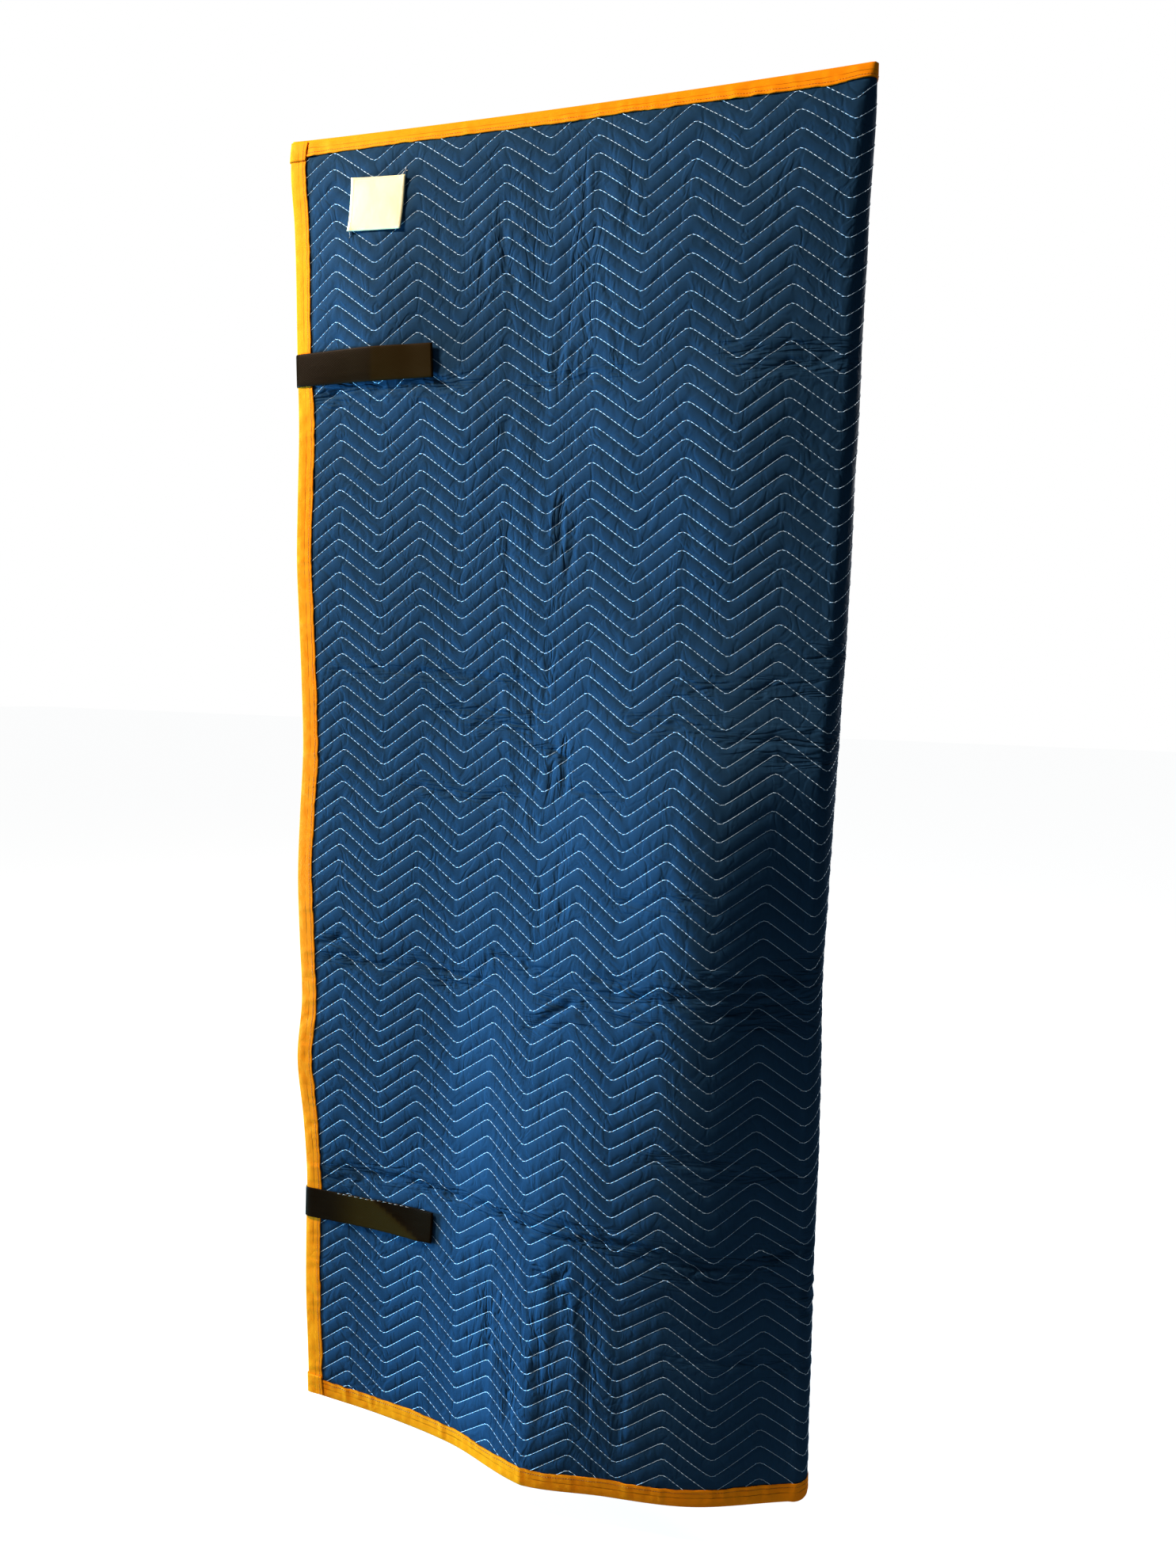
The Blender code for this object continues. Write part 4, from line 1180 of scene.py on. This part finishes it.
def top_tape(cloth, sizes, colours, material):
    """The tape over the closed top, which takes in the front's and the back's upper edges."""
    share = np.linspace(0.0, 1.0, TOP_ROWS)[:, None]
    along = share * FOLD_MIDDLE
    sides = ((along, TOP_FRONT_SEED),
             (CLOTH_WIDTH - share * (CLOTH_WIDTH - FOLD_MIDDLE), TOP_BACK_SEED))
    flap = np.array(FLAP + (0.0,)) * TAPE_WIDTH
    narrowed = 1 - TOP_NARROWING * ramp(along, FOLD_MIDDLE - 90 * MM, FOLD_MIDDLE - 10 * MM)
    merged = 1 - ramp(along, FOLD_MIDDLE - 30 * MM, FOLD_MIDDLE)
    skins = []
    for grow in (TAPE_THICKNESS, 0.0):
        lift = TAPE_GAP + grow - np.array(FLAP_FALL + (0.0,)) * grow
        skirts = []
        for across, seed in sides:
            reach = flap + (uneven_reach(along, flap, seed) - flap) * merged
            raised = lift + (tape_lift(sizes, along, reach, lift + 0.0 * along, seed) - lift) * merged
            skirts.append(cloth.place(across, reach * narrowed, raised))
        front, back = skirts
        gap = back[:, -1] - front[:, -1]
        rise = np.array((0.0, 0.0, TAPE_GAP + grow)) * np.linalg.norm(gap, axis=1)[:, None] / SEAM_DEPTH
        crown = [front[:, -1] + gap * t + rise * math.sin(math.pi * t) ** 0.5 for t in CROWN_STEPS]
        skins.append(np.concatenate((front, np.stack(crown, axis=1), back[:, ::-1]), axis=1))
    outer, inner = skins
    crown_width = np.linspace(0.1, 0.9, len(CROWN_STEPS)) * SEAM_DEPTH
    width = np.concatenate((TAPE_WIDTH - flap, TAPE_WIDTH + crown_width,
                            TAPE_WIDTH + SEAM_DEPTH + flap[::-1]))
    uv = spread(width[None, :], along)
    tape = shell_piece("tape_top_cloth", outer, inner, uv, material, joined_end=True)
    finish_tape(tape, "tape_top", colours, [outer[:, SEAM_COLUMN], outer[:, -1 - SEAM_COLUMN]])


def cover_settings(context):
    """The sizes and the colours that the panel shows."""
    return context.scene.cover_sizes, context.scene.cover_colours


class COVER_OT_quilt(bpy.types.Operator):
    """Make the padded quilt with its stitched channels, creases and plain inner face"""

    bl_idname = "cover.quilt"
    bl_label = "Quilt"

    def execute(self, context):
        sizes, colours = cover_settings(context)
        material = cloth_material("quilt_cloth", QUILT_FINISH, colours.quilt, colours.quilt_light,
                                  creased=True)
        points, faces, uv = quilt_mesh(hung_cloth(), sizes)
        quilt = new_piece("quilt_cloth", points, faces, uv, material)
        for name, mask in zip(("level_creases", "upright_creases"), crumpled(uv[:, 0], uv[:, 1])):
            add_mask(quilt, name, mask)
        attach(quilt, BODY)
        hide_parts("quilt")
        return {"FINISHED"}


class COVER_OT_quilting(bpy.types.Operator):
    """Sew the quilting lines over the front and the back"""

    bl_idname = "cover.quilting"
    bl_label = "Quilting lines"

    def execute(self, context):
        sizes, colours = cover_settings(context)
        cloth = hung_cloth()
        thread = thread_material("quilting_thread", colours.thread)
        spacing = sizes.stitch_spacing
        stitch = Stitch(spacing, QUILTING_LENGTH * spacing, sizes.thread_width)
        for name, low, high in (("quilting_front", 0.0, FRONT_QUILTING_END),
                                ("quilting_back", FRONT_QUILTING_END, CLOTH_WIDTH)):
            runs = [cloth.place(across, down, relief(sizes, across, down) + QUILTING_LIFT)
                    for across, down in line_runs(low, high)]
            sew(name, runs, stitch, thread)
        return {"FINISHED"}


class COVER_OT_bindings(bpy.types.Operator):
    """Fold the binding tapes round the two side edges, the hem and the closed top"""

    bl_idname = "cover.bindings"
    bl_label = "Bindings"

    def execute(self, context):
        sizes, colours = cover_settings(context)
        cloth = hung_cloth()
        material = cloth_material("binding_tape", TAPE_FINISH, colours.tape, colours.tape_dark,
                                  lines=TAPE_SHADE_LINES)
        for tape in tape_runs():
            edge_tape(cloth, sizes, colours, material, tape)
        top_tape(cloth, sizes, colours, material)
        return {"FINISHED"}


def smooth_rows(points, rounds):
    """Round the corners of each line of points, its ends held."""
    for _ in range(rounds):
        middle = (points[:-2] + 2 * points[1:-1] + points[2:]) / 4
        points = np.concatenate((points[:1], middle, points[-1:]))
    return points


def resample(line, count):
    """Points evenly spaced along a line."""
    length = run_lengths(line)
    at = np.linspace(0.0, length[-1], count)
    return np.stack([np.interp(at, length, line[:, k]) for k in range(3)], axis=-1), length[-1]


def strap_line(cloth, strap, height):
    """One long line of a strap: sewn end on the back, round the open side, free front end."""
    down = strap.down * MM + height
    sewn = np.linspace(CLOTH_WIDTH - STRAP_SEWN_LENGTH, CLOTH_WIDTH, 8)
    front = np.linspace(0.0, strap.length * MM, 40)
    share = front / front[-1]
    end = strap.end_lift * MM * ramp(share, 0.82, 1.0)
    ripple = 0.5 * MM * noise(front / (40 * MM), strap.down + height / (60 * MM))
    crown = ridge_place(strap, height)
    ridge = np.interp(share, (strap.ridge_from, crown, crown + 0.06, 1.0),
                      (0.0, strap.ridge, 0.35 * strap.ridge, 0.0)) * MM
    on_back = cloth.place(sewn, down, STRAP_LIFT)
    on_front = cloth.place(front, down, STRAP_LIFT + end + ripple + ridge)
    past = np.array((0.0, STRAP_PAST, 0.0))
    turn_back = on_back[-1] + np.array((-STRAP_SIDE, -1 * MM, 0.0))
    turn_front = on_front[0] + np.array((-STRAP_SIDE, 1 * MM, 0.0))
    bridge = np.linspace(turn_back - past, turn_front + past, 6)
    line = np.concatenate((on_back, [turn_back], bridge, [turn_front], on_front))
    points, length = resample(line, STRAP_ROWS)
    return smooth_rows(points, 3), length


def ridge_place(strap, height):
    """Share of the front length at which a strap's ridge crosses one of its lines."""
    return strap.ridge_top + (strap.ridge_foot - strap.ridge_top) * (height / STRAP_WIDTH + 0.5)


def painted_sheen_places(strap, uv):
    """How much painted sheen, a lighter tone standing in for light on the webbing, lies over a strap;
    it changes at the ridge.
    """
    length = strap.length * MM
    share = 1 - (uv[..., 1].max() - uv[..., 1]) / length
    before = strap.worn_before * ramp(share, 0.15, 0.45)
    past_ridge = ramp(share - ridge_place(strap, uv[..., 0]), -0.01, 0.02)
    return before + (strap.worn_after - before) * past_ridge


class COVER_OT_straps(bpy.types.Operator):
    """Lay the two webbing straps from the back round the open side onto the front"""

    bl_idname = "cover.straps"
    bl_label = "Straps"

    def execute(self, context):
        sizes, colours = cover_settings(context)
        cloth = hung_cloth()
        material = cloth_material("strap_webbing", STRAP_FINISH, colours.strap, colours.strap_light,
                                  worn=colours.strap_sheen)
        thread = thread_material("strap_thread", (0.10, 0.08, 0.06))
        half = STRAP_WIDTH / 2
        heights = STRAP_LINES * half
        edge = 1.0 - 0.45 * np.clip((np.abs(heights) / half - 0.94) / 0.06, 0.0, 1.0) ** 2
        for strap in STRAPS:
            lines, lengths = zip(*(strap_line(cloth, strap, height) for height in heights))
            inner = np.stack(lines, axis=1)
            normal = unit(np.cross(np.gradient(inner, axis=1), np.gradient(inner, axis=0)))
            outer = inner + normal * (sizes.strap_thickness * edge)[None, :, None]
            length = float(np.mean(lengths))
            uv = spread(heights[None, :], np.linspace(0.0, length, len(inner))[:, None])
            piece = shell_piece(strap.name + "_webbing", outer, inner, uv, material)
            # The painted sheen's mask, lighter on one side of the ridge, for the webbing's material.
            add_mask(piece, "worn", np.tile(painted_sheen_places(strap, uv).ravel(), 2))
            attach(piece, BODY)
            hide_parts(strap.name)
            square = outer[BOX_ROWS, BOX_LINES]
            steps = np.arange(len(square))
            runs = [round_run(square), square[steps, steps], square[steps, -1 - steps]]
            sewn = [sew(strap.name + "_stitches", runs, STRAP_STITCH, thread)]
            if strap.frayed:
                loose = (outer + 0.1 * MM * normal)[FRAYED_ROWS, FRAYED_LINE]
                sewn.append(sew(strap.name + "_loose_stitches", [loose], LOOSE_STITCH,
                                thread_material("loose_thread", (0.5, 0.46, 0.42))))
        return {"FINISHED"}


def label_place(x, y):
    """Cloth distances of a place on the label, which is sewn on a little out of square."""
    side, top = math.radians(LABEL.side_tilt_deg), math.radians(LABEL.top_tilt_deg)
    across = LABEL.across * MM + x * math.cos(top) - y * math.sin(side)
    return across, LABEL.down * MM + y * math.cos(side) + x * math.sin(top)


def tail_run(cloth, tail):
    """A loose end of thread that leaves the label and bows down onto the quilt."""
    share = np.linspace(0.0, 1.0, 9)
    bow = tail.bow * MM * np.sin(math.pi * share)
    across, down = label_place((tail.x + (tail.to_x - tail.x) * share) * MM + bow,
                               (tail.y + (tail.to_y - tail.y) * share) * MM + 0.6 * bow)
    lift = (2.0 + 2.5 * np.sin(math.pi * np.clip(0.35 + 0.75 * share, 0.0, 1.0))) * MM
    return cloth.place(across, down, lift)


class COVER_OT_label(bpy.types.Operator):
    """Sew the bare patch near the top of the front"""

    bl_idname = "cover.label"
    bl_label = "Label"

    def execute(self, context):
        sizes, colours = cover_settings(context)
        cloth = hung_cloth()
        material = cloth_material("label_cloth", LABEL_FINISH, colours.label,
                                  [0.9 * c for c in colours.label])
        u, v = np.meshgrid(np.linspace(-0.5, 0.5, 25), np.linspace(-0.5, 0.5, 22))
        x, y = u * LABEL.width * MM, v * LABEL.height * MM
        across, down = label_place(x, y)
        corner = (2 * np.abs(u)) ** 4 * (2 * np.abs(v)) ** 4
        side = np.maximum(np.abs(u), np.abs(v)) * 2
        sewn = bell(side, 0.9, 0.05)
        uneven = noise(x / (18 * MM), y / (22 * MM) + 3)
        lift = LABEL_LIFT + (2.2 * corner - 0.35 * sewn + 0.35 * uneven) * MM
        inner = cloth.place(across, down, lift)
        outer = cloth.place(across, down, lift + sizes.label_thickness)
        uv = spread(x, y)
        label = shell_piece("label_patch", outer, inner, uv, material)
        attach(label, BODY)
        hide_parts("label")
        patch = outer[1:-1, 1:-1]
        seam = np.concatenate((patch[0], patch[:, -1], patch[-1, ::-1], patch[::-1, 0]))
        thread = thread_material("label_thread", (0.62, 0.60, 0.55))
        stitches = sew("label_stitches", [seam], LABEL_STITCH, thread)
        tails = sew("label_thread_tails", [tail_run(cloth, tail) for tail in THREAD_TAILS],
                    TAIL_STITCH, thread)
        return {"FINISHED"}


def area_light(light):
    """A soft square light that points at its target."""
    data = bpy.data.lights.new(light.name, "AREA")
    data.shape = "SQUARE"
    data.size = light.side
    data.energy = light.power
    data.color = light.colour
    lamp = add_object(light.name, data)
    lamp.location = light.place
    towards = Vector(light.target) - Vector(light.place)
    lamp.rotation_euler = towards.to_track_quat("-Z", "Y").to_euler()


def floor_material():
    """A pale matt floor that stays pale far from the lights."""
    pale, tree, shader = new_material("floor")
    shader.inputs["Base Color"].default_value = FLOOR_COLOUR
    shader.inputs["Roughness"].default_value = 0.9
    seen = add_node(tree, "ShaderNodeLightPath").outputs["Is Camera Ray"]
    lit = add_node(tree, "ShaderNodeEmission",
                   {"Strength": math_node(tree, "MULTIPLY", seen, FLOOR_GLOW)})
    both = add_node(tree, "ShaderNodeAddShader", {0: shader.outputs["BSDF"],
                                                  1: lit.outputs["Emission"]})
    tree.links.new(both.outputs["Shader"], tree.nodes["Material Output"].inputs["Surface"])
    return pale


def studio_world(scene):
    """Soft even light from all round, with a paler backdrop."""
    world = bpy.data.worlds.new("studio")
    world.use_nodes = True
    tree = world.node_tree
    light = tree.nodes["Background"]
    light.inputs["Color"].default_value = WORLD_COLOUR
    light.inputs["Strength"].default_value = WORLD_STRENGTH
    backdrop = add_node(tree, "ShaderNodeBackground", {"Color": (1.0, 1.0, 1.0, 1.0), "Strength": 1.0})
    seen = add_node(tree, "ShaderNodeLightPath").outputs["Is Camera Ray"]
    mix = add_node(tree, "ShaderNodeMixShader", {0: seen, 1: light.outputs["Background"],
                                                 2: backdrop.outputs["Background"]})
    tree.links.new(mix.outputs["Shader"], tree.nodes["World Output"].inputs["Surface"])
    scene.world = world


class COVER_OT_stage(bpy.types.Operator):
    """Set the pale floor, the soft light and the camera"""

    bl_idname = "cover.stage"
    bl_label = "Stage"

    def execute(self, context):
        scene = context.scene
        mesh = bpy.data.meshes.new("floor")
        low = CAD_BOX[0][2] - FLOOR_DROP
        signs = ((-1, -1), (1, -1), (1, 1), (-1, 1))
        corners = [(x * FLOOR_REACH, y * FLOOR_REACH, low) for x, y in signs]
        mesh.from_pydata(corners, [], [(0, 1, 2, 3)])
        mesh.materials.append(floor_material())
        add_object("floor", mesh)
        studio_world(scene)
        for light in LIGHTS:
            area_light(light)

        data = bpy.data.cameras.new("camera")
        data.lens = CAMERA_LENS
        data.sensor_width = CAMERA_SENSOR
        camera = add_object("camera", data)
        axes = zip(CAMERA_RIGHT, CAMERA_UP, CAMERA_BACK, CAMERA_PLACE)
        camera.matrix_world = Matrix([list(row) for row in axes] + [[0.0, 0.0, 0.0, 1.0]])
        scene.camera = camera
        scene.view_settings.view_transform = "Standard"
        return {"FINISHED"}


OPERATORS = (COVER_OT_quilt, COVER_OT_quilting, COVER_OT_bindings, COVER_OT_straps,
             COVER_OT_label, COVER_OT_stage)


class COVER_PT_panel(bpy.types.Panel):
    """The cover's settings and the steps that make it"""

    bl_idname = "COVER_PT_panel"
    bl_label = "Quilted door cover"
    bl_space_type = "VIEW_3D"
    bl_region_type = "UI"
    bl_category = "Door cover"

    def draw(self, context):
        for settings in cover_settings(context):
            box = self.layout.box()
            for name in settings.__annotations__:
                box.prop(settings, name)
        for operator in OPERATORS:
            self.layout.operator(operator.bl_idname)


CLASSES = (CoverSizes, CoverColours) + OPERATORS + (COVER_PT_panel,)


def register():
    for cls in CLASSES:
        bpy.utils.register_class(cls)
    bpy.types.Scene.cover_sizes = bpy.props.PointerProperty(type=CoverSizes)
    bpy.types.Scene.cover_colours = bpy.props.PointerProperty(type=CoverColours)


def unregister():
    del bpy.types.Scene.cover_sizes
    del bpy.types.Scene.cover_colours
    for cls in reversed(CLASSES):
        bpy.utils.unregister_class(cls)


def main():
    register()
    for operator in OPERATORS:
        group, name = operator.bl_idname.split(".")
        getattr(getattr(bpy.ops, group), name)()


if __name__ == "__main__":
    main()
